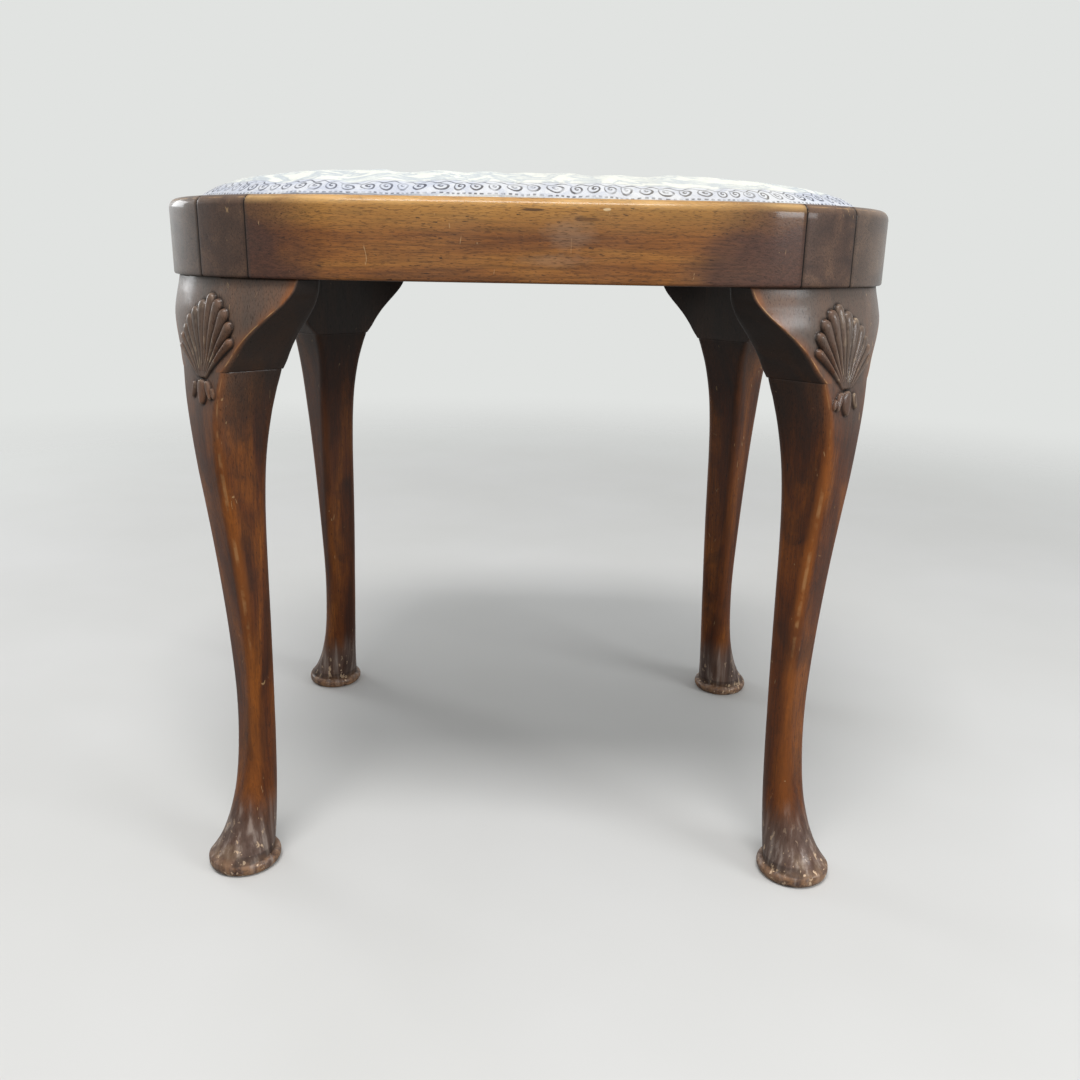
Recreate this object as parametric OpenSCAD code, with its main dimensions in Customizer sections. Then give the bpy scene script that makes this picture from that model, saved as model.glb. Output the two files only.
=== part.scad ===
// Dressing stool: a bowed ring frame on four cabriole legs, with a drop-in seat that lifts out.
// Millimetres, +Z up. The origin is on the floor under the middle of the stool, and the front is -Y.

/* [Frame] */
// Width over the wooden frame
frame_w = 518; // [500:1:540]
// Depth over the wooden frame
frame_d = 418; // [400:1:440]
// Height of the frame's top above the floor
frame_top = 470; // [420:1:540]
// Height of a rail
rail_h = 48; // [44:1:56]
// Thickness of a rail, from its outer to its inner face
rail_t = 36; // [33:1:40]
// Radius of the frame's rounded corners
corner_r = 144; // [138:1:152]
// Radius of the slight bow of the front and rear
long_bow_r = 2500; // [2000:50:4000]
// Radius of the strong bow of the two ends
end_bow_r = 337; // [325:1:350]
// Rounding of the frame's top edge
edge_r = 6; // [3:0.5:9]
// Length of a corner block along its outer face
block_w = 44; // [38:1:48]
// How far an end rail runs past the middle of the leg below
end_rail_lap = 6; // [4.5:0.5:8]

/* [Rebate] */
// Width of the lip that shows round the seat
lip_w = 17; // [15:0.5:20]
// Depth of the rebate that holds the seat
rebate_h = 22; // [19:0.5:25]

/* [Legs] */
// How far the foot's centre stands inside the frame's corner
foot_inset = 3; // [0:0.5:8]
// Diameter of the pad foot
foot_d = 52; // [46:1:60]
// Height of the disc under the pad foot
pad_h = 9; // [7:0.5:12]
// Width of the leg just under the ears
knee_w = 56; // [50:1:62]
// Width of the leg at the ankle
ankle_w = 30; // [26:1:34]
// Reach of the knee in front of the foot's centre
knee_out = 9; // [6:0.5:12]
// Set-back of the ankle's front behind the foot's centre
ankle_back = 6.5; // [4:0.5:9]
// Distance of the shank's back behind the foot's centre
shank_back = 27; // [25:0.5:30]
// Set-back of the leg's heel inside the foot's rim
heel_inset = 5; // [3:0.5:7]
// Distance of the knee's back behind the foot's centre
knee_back = 38.5; // [36:0.5:41]
// How far the frame overhangs the knee's top
overhang = 3.5; // [2:0.5:6]

/* [Ears] */
// Height of an ear from its joint on the leg to the frame
ear_h = 58; // [50:1:66]
// Reach of an ear beyond the side of the leg
ear_reach = 48; // [42:1:52]
// Width of the leg's post between its two ears
post_w = 42; // [38:1:46]

/* [Seat] */
// Width of the seat frame's members
member_w = 42; // [36:1:48]
// Thickness of the seat frame's members
member_t = 15; // [13:0.5:17]
// Height of the stuffing in the middle of the seat
crown = 23; // [14:1:32]
// Width of a webbing strap
strap_w = 50; // [40:1:55]

/* [Hidden] */

// Glue film round a dowel, and the room past its end
dowel_play = 0.1;
dowel_room = 1;
rail_dowel_d = 8;
rail_dowel_half = 14;
leg_dowel_d = 10;
leg_dowel_up = 18;
leg_dowel_down = 30;
leg_dowel_gap = 22;
ear_dowel_d = 6;
ear_dowel_half = 12;
seat_dowel_d = 6;
seat_dowel_half = 16;

// Clear room round the seat, the gap it rests with, and the cloth parts
seat_play = 1;
rest_gap = 0.3;
cover_t = 1.2;
cover_ease = 0.4;
turn_under = 14;
strap_t = 1.2;
hessian_t = 0.8;
strap_margin = 14;
stuffing_margin = 3;

// One overrun serves every cut, and no curve strays further than this from its chords
over = 1;
trim_turn = 0.5;
seam_lap = 0.005;
place_steps = 100;
post_root = 3;
chord_error = 0.03;
lower_edge_r = 1.5;

rail_z = frame_top - rail_h;
shoulder_z = rail_z - ear_h;

// The frame's outline in one quarter: a long bow, a corner arc and an end bow, each tangent to the next
long_axis = [0, frame_d / 2 - long_bow_r];
end_axis = [frame_w / 2 - end_bow_r, 0];
corner = meet(long_axis, long_bow_r - corner_r, end_axis, end_bow_r - corner_r);
long_end = turn_of(corner - long_axis);
corner_end = turn_of(corner - end_axis);
diagonal = 45;
block_end = diagonal - degrees_along(end_rail_lap, corner_r);
block_start = block_end - degrees_along(block_w, corner_r);

// The leg's foot stands on the diagonal through the corner arc's centre
foot_reach = corner_r - foot_inset;
knee_top_r = corner_r - overhang;
seat_inset = lip_w + seat_play + cover_t + cover_ease;
seat_floor = rail_z + rail_h - rebate_h + rest_gap;
member_z = seat_floor + cover_t;
web_z = member_z + member_t;
stuffing_z = web_z + 2 * strap_t + hessian_t;

// Where two circles cross, on the side away from the origin
function meet(a, ra, b, rb) =
    let (span = b - a, gap = norm(span), along = (ra * ra - rb * rb + gap * gap) / (2 * gap))
    let (off = sqrt(ra * ra - along * along), dir = span / gap)
    a + along * dir + off * [dir[1], -dir[0]];

// Turns are measured from +Y towards +X
function turn_of(v) = atan2(v[0], v[1]);
function degrees_along(length, radius) = length / radius * 180 / PI;
function facets(radius) = ceil(180 / acos(1 - chord_error / radius));
function mix(a, b, share) = a + (b - a) * share;

// A smooth curve through a table of [place, value] shares
function slot_of(x, table, i = 0) =
    i >= len(table) - 2 || x < table[i + 1][0] ? i : slot_of(x, table, i + 1);
function slope_at(table, i) =
    let (a = table[max(i - 1, 0)], b = table[min(i + 1, len(table) - 1)])
    (b[1] - a[1]) / (b[0] - a[0]);
function curve(x, table) =
    let (i = slot_of(x, table), a = table[i], b = table[i + 1], step = b[0] - a[0])
    let (t = min(max((x - a[0]) / step, 0), 1), rest = 1 - t)
    a[1] * (1 + 2 * t) * rest * rest + b[1] * (3 - 2 * t) * t * t
        + step * (slope_at(table, i) * t * rest * rest - slope_at(table, i + 1) * t * t * rest);

// Closes a stack of rings, all of one length, into one solid
function skin(rings) =
    let (n = len(rings[0]), last = len(rings) - 1)
    [[for (ring = rings) for (p = ring) p],
        concat(
            [[for (i = [0:n - 1]) i]],
            [for (k = [0:last - 1]) for (i = [0:n - 1])
                let (j = (i + 1) % n)
                each [[k * n + i, (k + 1) * n + j, k * n + j], [k * n + i, (k + 1) * n + i, (k + 1) * n + j]]],
            [[for (i = [n - 1:-1:0]) last * n + i]]
        )];

module wood(shade) { color(shade) children(); }

// Moves the children in two steps, a round one and a fine one, so that neighbouring arcs meet exactly
module at_point(p) {
    near = [for (value = p) round(value * place_steps) / place_steps];
    translate([near[0], near[1], 0])
        translate([p[0] - near[0], p[1] - near[1], 0])
            children();
}
module at_corner(side, end) {
    at_point([side * corner[0], end * corner[1]])
        rotate([0, 0, atan2(end, side)])
            children();
}
module front_left() { at_corner(-1, -1) children(); }
module front_right() { at_corner(1, -1) children(); }
module rear_left() { at_corner(-1, 1) children(); }
module rear_right() { at_corner(1, 1) children(); }
module to_front() { mirror([0, 1, 0]) children(); }
module to_left() { mirror([1, 0, 0]) children(); }

// Sweeps the child section, whose x is measured from the outline, along one arc of the outline
module arc_run(axis, radius, from, to) {
    at_point(axis)
        rotate_extrude(angle = to - from, start = 90 - to, $fn = facets(radius))
            translate([radius, 0])
                children();
}
// Everything past one turn of the corner arc: neighbouring arcs are trimmed there, and one laps the other
module past(turn, lap) {
    at_point(corner)
        rotate([0, 0, 90 - turn])
            translate([-frame_w, lap - frame_w, 0])
                cube([2 * frame_w, frame_w, frame_top + rail_h]);
}
module corner_from_long(reach) {
    intersection() {
        arc_run(corner, corner_r, long_end - trim_turn, reach) children();
        past(long_end, seam_lap);
    }
}
module corner_from_end(from) {
    difference() {
        arc_run(corner, corner_r, from, corner_end + trim_turn) children();
        past(corner_end, 0);
    }
}
module long_run(reach) {
    difference() {
        arc_run(long_axis, long_bow_r, -long_end - trim_turn, long_end + trim_turn) children();
        past(long_end, 0);
        to_left() past(long_end, 0);
    }
    corner_from_long(reach) children();
    to_left() corner_from_long(reach) children();
}
module end_run(from) {
    intersection() {
        arc_run(end_axis, end_bow_r, corner_end - trim_turn, 180 - corner_end + trim_turn) children();
        past(corner_end, seam_lap);
        to_front() past(corner_end, seam_lap);
    }
    corner_from_end(from) children();
    to_front() corner_from_end(from) children();
}

module round_cut(radius) {
    difference() {
        square(radius + over);
        circle(r = radius, $fn = facets(radius));
    }
}
module rail_section() {
    translate([0, rail_z])
        difference() {
            translate([-rail_t, 0]) square([rail_t, rail_h]);
            translate([-rail_t - over, rail_h - rebate_h]) square([rail_t - lip_w + over, rebate_h + over]);
            translate([-edge_r, rail_h - edge_r]) round_cut(edge_r);
            translate([-lower_edge_r, lower_edge_r]) mirror([0, 1]) round_cut(lower_edge_r);
        }
}

// A dowel across the joint at one turn of the corner arc, low and high in the rail
module joint_dowels(turn, diameter, half) {
    for (height = [rail_h * 0.28, rail_h * 0.7])
        at_point(corner)
            rotate([0, 0, 90 - turn])
                translate([corner_r - lip_w / 2, 0, rail_z + height])
                    rotate([90, 0, 0])
                        cylinder(d = diameter, h = 2 * half, center = true, $fn = facets(diameter / 2));
}
module rail_joint_dowels(diameter, half) {
    joint_dowels(block_start, diameter, half);
    joint_dowels(block_end, diameter, half);
}
module rail_dowel_bores() { rail_joint_dowels(rail_dowel_d + 2 * dowel_play, rail_dowel_half + dowel_room); }

// Two dowels rise from the leg's post, and one from each ear
module post_dowels(diameter, up, down) {
    for (side = [-1, 1])
        translate([foot_reach - knee_back * 0.55, side * leg_dowel_gap / 2, rail_z - down])
            cylinder(d = diameter, h = up + down, $fn = facets(diameter / 2));
}
module wing_dowels(diameter, half) {
    for (side = [-1, 1])
        translate([foot_reach - knee_back * 0.7, side * (knee_w + ear_reach * 0.9) / 2, rail_z])
            cylinder(d = diameter, h = 2 * half, center = true, $fn = facets(diameter / 2));
}
module frame_bores() {
    post_dowels(leg_dowel_d + 2 * dowel_play, leg_dowel_up + dowel_room, over);
    wing_dowels(ear_dowel_d + 2 * dowel_play, ear_dowel_half + dowel_room);
}

module long_rail() {
    wood("peru")
        difference() {
            long_run(block_start) rail_section();
            rail_dowel_bores();
            to_left() rail_dowel_bores();
            rear_left() frame_bores();
            rear_right() frame_bores();
        }
}
module end_rail() {
    wood("sienna")
        difference() {
            end_run(block_end) rail_section();
            rail_dowel_bores();
            to_front() rail_dowel_bores();
            front_right() frame_bores();
            rear_right() frame_bores();
        }
}
module corner_block() {
    wood("saddlebrown")
        difference() {
            arc_run(corner, corner_r, block_start, block_end) rail_section();
            rail_dowel_bores();
            rear_right() frame_bores();
        }
}

// The leg in the corner's own frame: x runs out along the diagonal, from the corner arc's centre.
// Heights are shares of the shoulder's height; the ankle is where the leg is slimmest.
ankle_share = 0.33;
foot_flare_shares = [[0, 1], [0.012, 0.86], [0.03, 0.7], [0.063, 0.51], [0.1, 0.35], [0.14, 0.22], [0.195, 0.11],
    [0.264, 0.03], [ankle_share, 0]];
knee_rise_shares = [[ankle_share, 0], [0.4, 0.01], [0.5, 0.12], [0.59, 0.29], [0.67, 0.48], [0.75, 0.7],
    [0.825, 0.9], [0.9, 1], [0.95, 0.99], [1, 0.88]];
back_foot_shares = [[0, 1], [0.058, 0.4], [0.14, 0.08], [0.25, 0], [ankle_share, 0]];
back_knee_shares = [[ankle_share, 0], [0.6, 0], [0.74, 0.06], [0.84, 0.25], [0.92, 0.59], [1, 1]];
foot_width_shares = [[0, 0.75], [0.03, 0.46], [0.063, 0.25], [0.1, 0.12], [0.14, 0.04], [0.2, 0], [ankle_share, 0]];
knee_width_shares = [[ankle_share, 0], [0.5, 0.11], [0.6, 0.15], [0.7, 0.18], [0.8, 0.24], [0.89, 0.37],
    [0.95, 0.62], [1, 1]];
arris_shares = [[0, 0.5], [0.2, 0.48], [0.35, 0.42], [0.55, 0.32], [0.8, 0.2], [0.95, 0.1], [1, 0.08]];
knee_top_shares = [[0, 0], [0.2, 0.2], [0.41, 0.28], [0.62, 0.39], [0.79, 0.64], [0.91, 0.86], [1, 1]];

function low_share(z) = (z - pad_h) / shoulder_z;
function front_at(z) =
    let (h = z / shoulder_z)
    h < ankle_share ? mix(-ankle_back, foot_d / 2, curve(low_share(z), foot_flare_shares))
    : mix(-ankle_back, knee_out, curve(h, knee_rise_shares));
function back_at(z) =
    let (h = z / shoulder_z)
    h < ankle_share ? -mix(shank_back, foot_d / 2 - heel_inset, curve(low_share(z), back_foot_shares))
    : -mix(shank_back, knee_back, curve(h, back_knee_shares));
function width_at(z) =
    let (h = z / shoulder_z)
    h < ankle_share ? mix(ankle_w, foot_d, curve(low_share(z), foot_width_shares))
    : mix(ankle_w, knee_w, curve(h, knee_width_shares));

// Above the shoulder the knee's face is turned about the corner's centre and runs up under the frame
function shoulder_r() = foot_reach + front_at(shoulder_z);
function knee_r(z) = mix(shoulder_r(), knee_top_r, curve((z - shoulder_z) / ear_h, knee_top_shares));
function face_dip(radius, y) = radius - sqrt(radius * radius - y * y);

// One level of the leg: a rectangle with rounded arrises and a crowned front
function leg_ring(z) =
    let (front = foot_reach + front_at(z), back = foot_reach + back_at(z), half = width_at(z) / 2)
    let (arris = curve(z / shoulder_z, arris_shares) * min(2 * half, front - back))
    let (crowned = min(1, z / shoulder_z / ankle_share))
    [for (p = rounded_corners(back, front, half, arris))
        [p[0] - (p[0] - back) / (front - back) * crowned * face_dip(front, p[1]), p[1], z]];
function rounded_corners(back, front, half, arris) = concat(
    corner_points(front - arris, half - arris, arris, 0),
    corner_points(back + arris, half - arris, arris, 90),
    corner_points(back + arris, arris - half, arris, 180),
    corner_points(front - arris, arris - half, arris, 270));
function corner_points(x, y, radius, from) =
    [for (turn = [0, 30, 60, 90]) [x + radius * cos(from + turn), y + radius * sin(from + turn)]];
function pad_ring(z, shrink) =
    let (radius = foot_d / 2 * (1 - shrink))
    [for (p = rounded_corners(foot_reach - radius, foot_reach + radius, radius, radius * 0.97)) [p[0], p[1], z]];

leg_levels = [0.028, 0.038, 0.055, 0.08, 0.11, 0.14, 0.18, 0.23, 0.28, 0.33, 0.39, 0.45, 0.5, 0.55, 0.6, 0.65,
    0.7, 0.75, 0.79, 0.83, 0.87, 0.9, 0.93, 0.955, 0.98, 1];
module shank() {
    rings = concat(
        [pad_ring(0, 0.06), pad_ring(pad_h * 0.2, 0), pad_ring(pad_h * 0.75, 0), pad_ring(pad_h, 0.05)],
        [for (share = leg_levels) leg_ring(share * shoulder_z)]
    );
    solid = skin(rings);
    polyhedron(points = solid[0], faces = solid[1], convexity = 4);
}

// The block above the shoulder, before the post and the ears part it: a face turned about the corner's
// centre over a flat back. The post's root reaches down into the shank.
knee_levels_shares = [0, 0.2, 0.41, 0.62, 0.79, 0.91, 1];
module knee_block(low) {
    face = [for (share = knee_levels_shares) [knee_r(shoulder_z + share * ear_h), shoulder_z + share * ear_h]];
    intersection() {
        rotate([0, 0, -diagonal])
            rotate_extrude(angle = 2 * diagonal, $fn = facets(corner_r))
                polygon(concat([[0, low], [shoulder_r(), low]], face, [[0, rail_z]]));
        translate([foot_reach - knee_back, -corner_r, low])
            cube([2 * corner_r, 2 * corner_r, rail_z - low]);
    }
}

// An ear sweeps out from the side of the leg in a cyma
ear_sweep_shares = [[0, 0], [0.1, 0.11], [0.22, 0.22], [0.345, 0.355], [0.465, 0.51], [0.585, 0.68], [0.72, 0.85],
    [0.86, 0.96], [1, 1]];
module ear_outline() {
    polygon(concat(
        [[post_w / 2, 0]],
        [for (i = [0:len(ear_sweep_shares) - 1])
            [knee_w / 2 + ear_reach * ear_sweep_shares[i][1], ear_h * ear_sweep_shares[i][0]]],
        [[post_w / 2, ear_h]]
    ));
}
module ear() {
    intersection() {
        knee_block(shoulder_z);
        translate([0, 0, shoulder_z])
            rotate([90, 0, 90])
                linear_extrude(2 * corner_r)
                    ear_outline();
    }
}
module ears() {
    wood("saddlebrown")
        difference() {
            union() {
                ear();
                mirror([0, 1, 0]) ear();
            }
            wing_dowels(ear_dowel_d + 2 * dowel_play, ear_dowel_half + dowel_room);
        }
}
module leg() {
    wood("sienna")
        difference() {
            union() {
                shank();
                intersection() {
                    knee_block(shoulder_z - post_root);
                    translate([0, -post_w / 2, 0]) cube([2 * corner_r, post_w, rail_z]);
                }
            }
            post_dowels(leg_dowel_d + 2 * dowel_play, over, leg_dowel_down + dowel_room);
        }
}

module four_corners() {
    front_left() children();
    front_right() children();
    rear_left() children();
    rear_right() children();
}
module rail_dowels() {
    wood("burlywood")
        for (front = [0, 1]) mirror([0, front, 0])
            for (left = [0, 1]) mirror([left, 0, 0])
                rail_joint_dowels(rail_dowel_d, rail_dowel_half);
}
module leg_dowels() { wood("burlywood") four_corners() post_dowels(leg_dowel_d, leg_dowel_up, leg_dowel_down); }
module ear_dowels() { wood("burlywood") four_corners() wing_dowels(ear_dowel_d, ear_dowel_half); }

// The seat frame: four members on the outline, dowelled where they meet over the legs
module member_section() { translate([-seat_inset - member_w, member_z]) square([member_w, member_t]); }
module seat_joint_dowels(diameter, half) {
    for (share = [0.3, 0.7])
        at_point(corner)
            rotate([0, 0, 90 - diagonal])
                translate([corner_r - seat_inset - member_w * share, 0, member_z + member_t / 2])
                    rotate([90, 0, 0])
                        cylinder(d = diameter, h = 2 * half, center = true, $fn = facets(diameter / 2));
}
module seat_dowel_bores() { seat_joint_dowels(seat_dowel_d + 2 * dowel_play, seat_dowel_half + dowel_room); }
module long_member() {
    wood("tan")
        difference() {
            long_run(diagonal) member_section();
            seat_dowel_bores();
            to_left() seat_dowel_bores();
        }
}
module end_member() {
    wood("tan")
        difference() {
            end_run(diagonal) member_section();
            seat_dowel_bores();
            to_front() seat_dowel_bores();
        }
}
module seat_dowels() {
    wood("burlywood")
        for (front = [0, 1]) mirror([0, front, 0])
            for (left = [0, 1]) mirror([left, 0, 0])
                seat_joint_dowels(seat_dowel_d, seat_dowel_half);
}

// Three straps each way, the cross straps over the long ones
strap_places_shares = [-1, 0, 1];
long_strap_pitch = frame_d * 0.18;
cross_strap_pitch = frame_w * 0.17;
function end_x(y, inset) = end_axis[0] + sqrt(pow(end_bow_r - inset, 2) - y * y);
function long_y(x, inset) = long_axis[1] + sqrt(pow(long_bow_r - inset, 2) - x * x);
module long_webbing() {
    color("goldenrod")
        for (place = strap_places_shares) {
            reach = end_x(abs(place) * long_strap_pitch + strap_w / 2, seat_inset + strap_margin);
            translate([-reach, place * long_strap_pitch - strap_w / 2, web_z]) cube([2 * reach, strap_w, strap_t]);
        }
}
module cross_webbing() {
    color("goldenrod")
        for (place = strap_places_shares) {
            reach = long_y(abs(place) * cross_strap_pitch + strap_w / 2, seat_inset + strap_margin);
            translate([place * cross_strap_pitch - strap_w / 2, -reach, web_z + strap_t])
                cube([strap_w, 2 * reach, strap_t]);
        }
}

// The soft parts share one loop of turns round the outline
long_steps = 2;
corner_steps = 9;
end_steps = 4;
quarter_turns = concat(
    [for (i = [0:long_steps - 1]) long_end * i / long_steps],
    [for (i = [0:corner_steps - 1]) mix(long_end, corner_end, i / corner_steps)],
    [for (i = [0:end_steps - 1]) mix(corner_end, 90, i / end_steps)]
);
function quarter_point(turn, inset) =
    turn < long_end ? long_axis + (long_bow_r - inset) * [sin(turn), cos(turn)]
    : turn < corner_end ? corner + (corner_r - inset) * [sin(turn), cos(turn)]
    : end_axis + (end_bow_r - inset) * [sin(turn), cos(turn)];
function outline_loop(inset) =
    let (quarter = [for (turn = quarter_turns) quarter_point(turn, inset)])
    let (tip = quarter_point(90, inset), top = quarter[0], n = len(quarter))
    concat(
        [tip], [for (i = [n - 1:-1:1]) quarter[i]],
        [top], [for (i = [1:n - 1]) [-quarter[i][0], quarter[i][1]]],
        [-tip], [for (i = [n - 1:-1:1]) -quarter[i]],
        [-top], [for (i = [1:n - 1]) [quarter[i][0], -quarter[i][1]]]
    );
function loop_at(inset, z) = [for (p = outline_loop(inset)) [p[0], p[1], z]];

// The crown: steep at the edge and almost flat in the middle
crown_power = 4;
crown_bluntness = 0.5;
function crown_at(share) = crown * pow(1 - pow(share, crown_power), crown_bluntness);
function crown_loop(share, lift_by) =
    [for (p = outline_loop(seat_inset + stuffing_margin - lift_by))
        [p[0] * share, p[1] * share, stuffing_z + crown_at(share) + lift_by]];
crown_shares = [0.985, 0.94, 0.85, 0.7, 0.48, 0.24, 0.02];

module hessian() {
    solid = skin([loop_at(seat_inset + stuffing_margin, web_z + 2 * strap_t),
        loop_at(seat_inset + stuffing_margin, stuffing_z)]);
    color("wheat") polyhedron(points = solid[0], faces = solid[1], convexity = 2);
}
module stuffing() {
    solid = skin(concat([loop_at(seat_inset + stuffing_margin, stuffing_z)],
        [for (share = crown_shares) crown_loop(share, 0)]));
    color("beige") polyhedron(points = solid[0], faces = solid[1], convexity = 2);
}

// The cover goes over the stuffing, down the sides of the seat frame and under it, and clears them all
module seat_cover() {
    inside = seat_inset - cover_ease;
    outside = inside - cover_t;
    inner = [for (i = [len(crown_shares) - 1:-1:0]) crown_loop(crown_shares[i], cover_ease)];
    solid = skin(concat(
        inner,
        [loop_at(seat_inset + stuffing_margin - cover_ease, stuffing_z), loop_at(inside, web_z),
            loop_at(inside, member_z), loop_at(seat_inset + turn_under, member_z),
            loop_at(seat_inset + turn_under, seat_floor), loop_at(outside, seat_floor), loop_at(outside, web_z)],
        [for (share = crown_shares) crown_loop(share, cover_ease + cover_t)]
    ));
    color("aliceblue") polyhedron(points = solid[0], faces = solid[1], convexity = 4);
}

to_front() long_rail();  // front_rail
long_rail();  // rear_rail
to_left() end_rail();  // left_rail
end_rail();  // right_rail
to_front() to_left() corner_block();  // front_left_block
to_front() corner_block();  // front_right_block
to_left() corner_block();  // rear_left_block
corner_block();  // rear_right_block
front_left() leg();  // front_left_leg
front_right() leg();  // front_right_leg
rear_left() leg();  // rear_left_leg
rear_right() leg();  // rear_right_leg
front_left() ears();  // front_left_ears
front_right() ears();  // front_right_ears
rear_left() ears();  // rear_left_ears
rear_right() ears();  // rear_right_ears
rail_dowels();
leg_dowels();
ear_dowels();
to_front() long_member();  // seat_front_member
long_member();  // seat_rear_member
to_left() end_member();  // seat_left_member
end_member();  // seat_right_member
seat_dowels();
long_webbing();
cross_webbing();
hessian();
stuffing();
seat_cover();
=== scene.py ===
# %% [markdown]
# # A bowed dressing stool with a drop-in seat
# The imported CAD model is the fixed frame. Each cell below dresses one part of the stool, rides it on
# its body, and prints what it made. Lengths are in metres. The leg and its carving are worked out in
# millimetres, because their tables are small numbers.
# %% Load the frame
import math

import bpy
import numpy as np
from mathutils import Matrix, Vector
from mathutils.kdtree import KDTree


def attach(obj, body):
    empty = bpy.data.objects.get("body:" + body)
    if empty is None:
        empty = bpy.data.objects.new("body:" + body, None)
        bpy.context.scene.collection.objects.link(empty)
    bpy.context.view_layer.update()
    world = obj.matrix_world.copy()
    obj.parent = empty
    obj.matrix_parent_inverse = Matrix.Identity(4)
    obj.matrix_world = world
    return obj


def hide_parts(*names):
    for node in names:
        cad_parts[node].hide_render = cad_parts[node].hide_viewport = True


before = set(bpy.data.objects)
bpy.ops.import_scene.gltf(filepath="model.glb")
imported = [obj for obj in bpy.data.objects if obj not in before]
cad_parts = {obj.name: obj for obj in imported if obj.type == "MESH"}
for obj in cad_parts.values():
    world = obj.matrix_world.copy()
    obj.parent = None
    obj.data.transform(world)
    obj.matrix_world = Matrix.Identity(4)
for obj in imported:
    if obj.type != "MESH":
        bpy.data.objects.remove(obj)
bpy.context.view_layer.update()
collection = bpy.context.scene.collection
bpy.context.scene.view_settings.view_transform = "Standard"

# %% [markdown]
# The photograph was taken from the front, a little above the seat, with a wide lens. The camera's
# place and turn were fitted to the frame's outline and the four feet.
# %% Camera
CAMERA_AT = Vector((0.0143, -0.8022, 0.4394))
YAW, PITCH, ROLL = math.radians(0.21), math.radians(16.26), math.radians(1.02)
SENSOR_MM, FOCAL_MM, NEAREST = 36, 32.793, 0.02
ahead = Vector((-math.sin(YAW) * math.cos(PITCH), math.cos(YAW) * math.cos(PITCH), -math.sin(PITCH)))
level = Vector((math.cos(YAW), math.sin(YAW), 0))
above = level.cross(ahead)
right = math.cos(ROLL) * level + math.sin(ROLL) * above
up = math.cos(ROLL) * above - math.sin(ROLL) * level
lens = bpy.data.cameras.new("camera")
lens.sensor_fit = "HORIZONTAL"
lens.sensor_width = SENSOR_MM
lens.lens = FOCAL_MM
lens.clip_start = NEAREST
camera = bpy.data.objects.new("camera", lens)
camera.matrix_world = Matrix.Translation(CAMERA_AT) @ Matrix((right, up, -ahead)).transposed().to_4x4()
collection.objects.link(camera)
bpy.context.scene.camera = camera
print("camera", tuple(round(v, 3) for v in camera.location))

# %% [markdown]
# Materials are node trees. These helpers add a node, set its options and link or set its inputs, so
# that each material below reads from top to bottom.
# %% Node helpers
def srgb(red, green, blue):
    """A colour picked on screen, 0 to 255, as linear light."""
    linear = [((c / 255 + 0.055) / 1.055) ** 2.4 if c > 10 else c / 3294 for c in (red, green, blue)]
    return (*linear, 1)


def connect(tree, node, values):
    """Sets a node's inputs, by name or number, to values or to other nodes' outputs."""
    for key, value in values.items():
        if isinstance(value, bpy.types.NodeSocket):
            tree.links.new(value, node.inputs[key])
        else:
            node.inputs[key].default_value = value
    return node


def add(tree, kind, values=None, **settings):
    """Adds a node with its settings and its inputs."""
    made = tree.nodes.new(kind)
    for key, value in settings.items():
        setattr(made, key, value)
    return connect(tree, made, values or {})


def ramp(tree, factor, stops):
    """A colour ramp; stops are (place, colour or grey)."""
    made = add(tree, "ShaderNodeValToRGB", {"Fac": factor})
    while len(made.color_ramp.elements) < len(stops):
        made.color_ramp.elements.new(1)
    for element, (place, tone) in zip(made.color_ramp.elements, stops):
        element.position = place
        element.color = tone if isinstance(tone, tuple) else (tone, tone, tone, 1)
    return made.outputs["Color"]


def blend(tree, factor, first, second, how="MIX"):
    """Mixes two colours by a factor."""
    made = add(tree, "ShaderNodeMix", {0: factor, 6: first, 7: second}, data_type="RGBA", blend_type=how)
    return made.outputs[2]


def maths(tree, how, first, second=0.0, third=0.0):
    """One step of arithmetic on numbers."""
    return add(tree, "ShaderNodeMath", {0: first, 1: second, 2: third}, operation=how).outputs[0]


def times(tree, first, *others):
    """The product of two or more numbers."""
    for other in others:
        first = maths(tree, "MULTIPLY", first, other)
    return first


def span(tree, x, y):
    """The straight distance that two measures at right angles make."""
    return maths(tree, "SQRT", maths(tree, "ADD", times(tree, x, x), times(tree, y, y)))


def fade(tree, value, start, end, curve="LINEAR"):
    """0 where a value is at the start, 1 where it is at the end, and between them in between."""
    return add(tree, "ShaderNodeMapRange", {0: value, 1: start, 2: end}, interpolation_type=curve).outputs[0]


def noise(tree, place, stretch, detail, distortion=0.0, rough=0.5):
    """Noise whose lumps are as many to the metre, along x, y and z, as the stretch says."""
    stretch = stretch if isinstance(stretch, tuple) else (stretch,) * 3
    placed = add(tree, "ShaderNodeMapping", {"Vector": place, "Scale": stretch})
    values = {"Vector": placed.outputs[0], "Scale": 1.0, "Detail": detail, "Roughness": rough,
              "Distortion": distortion}
    return add(tree, "ShaderNodeTexNoise", values).outputs["Fac"]


def patches(tree, place, stretch, detail, stops, distortion=0.0, rough=0.5):
    """Noise cut to patches by a ramp of (place, grey or colour)."""
    return ramp(tree, noise(tree, place, stretch, detail, distortion, rough), stops)


def stored(tree, name):
    """A number that a mesh keeps for each of its points."""
    return add(tree, "ShaderNodeAttribute", attribute_name=name).outputs["Fac"]


def bumped(tree, height, strength, distance):
    """A shading normal that follows a height."""
    values = {"Strength": strength, "Distance": distance, "Height": height}
    return add(tree, "ShaderNodeBump", values).outputs[0]


def new_material(name):
    """An empty material with a Principled shader: (material, tree, shader)."""
    material = bpy.data.materials.new(name)
    material.use_nodes = True
    tree = material.node_tree
    return material, tree, next(n for n in tree.nodes if n.type == "BSDF_PRINCIPLED")


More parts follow.
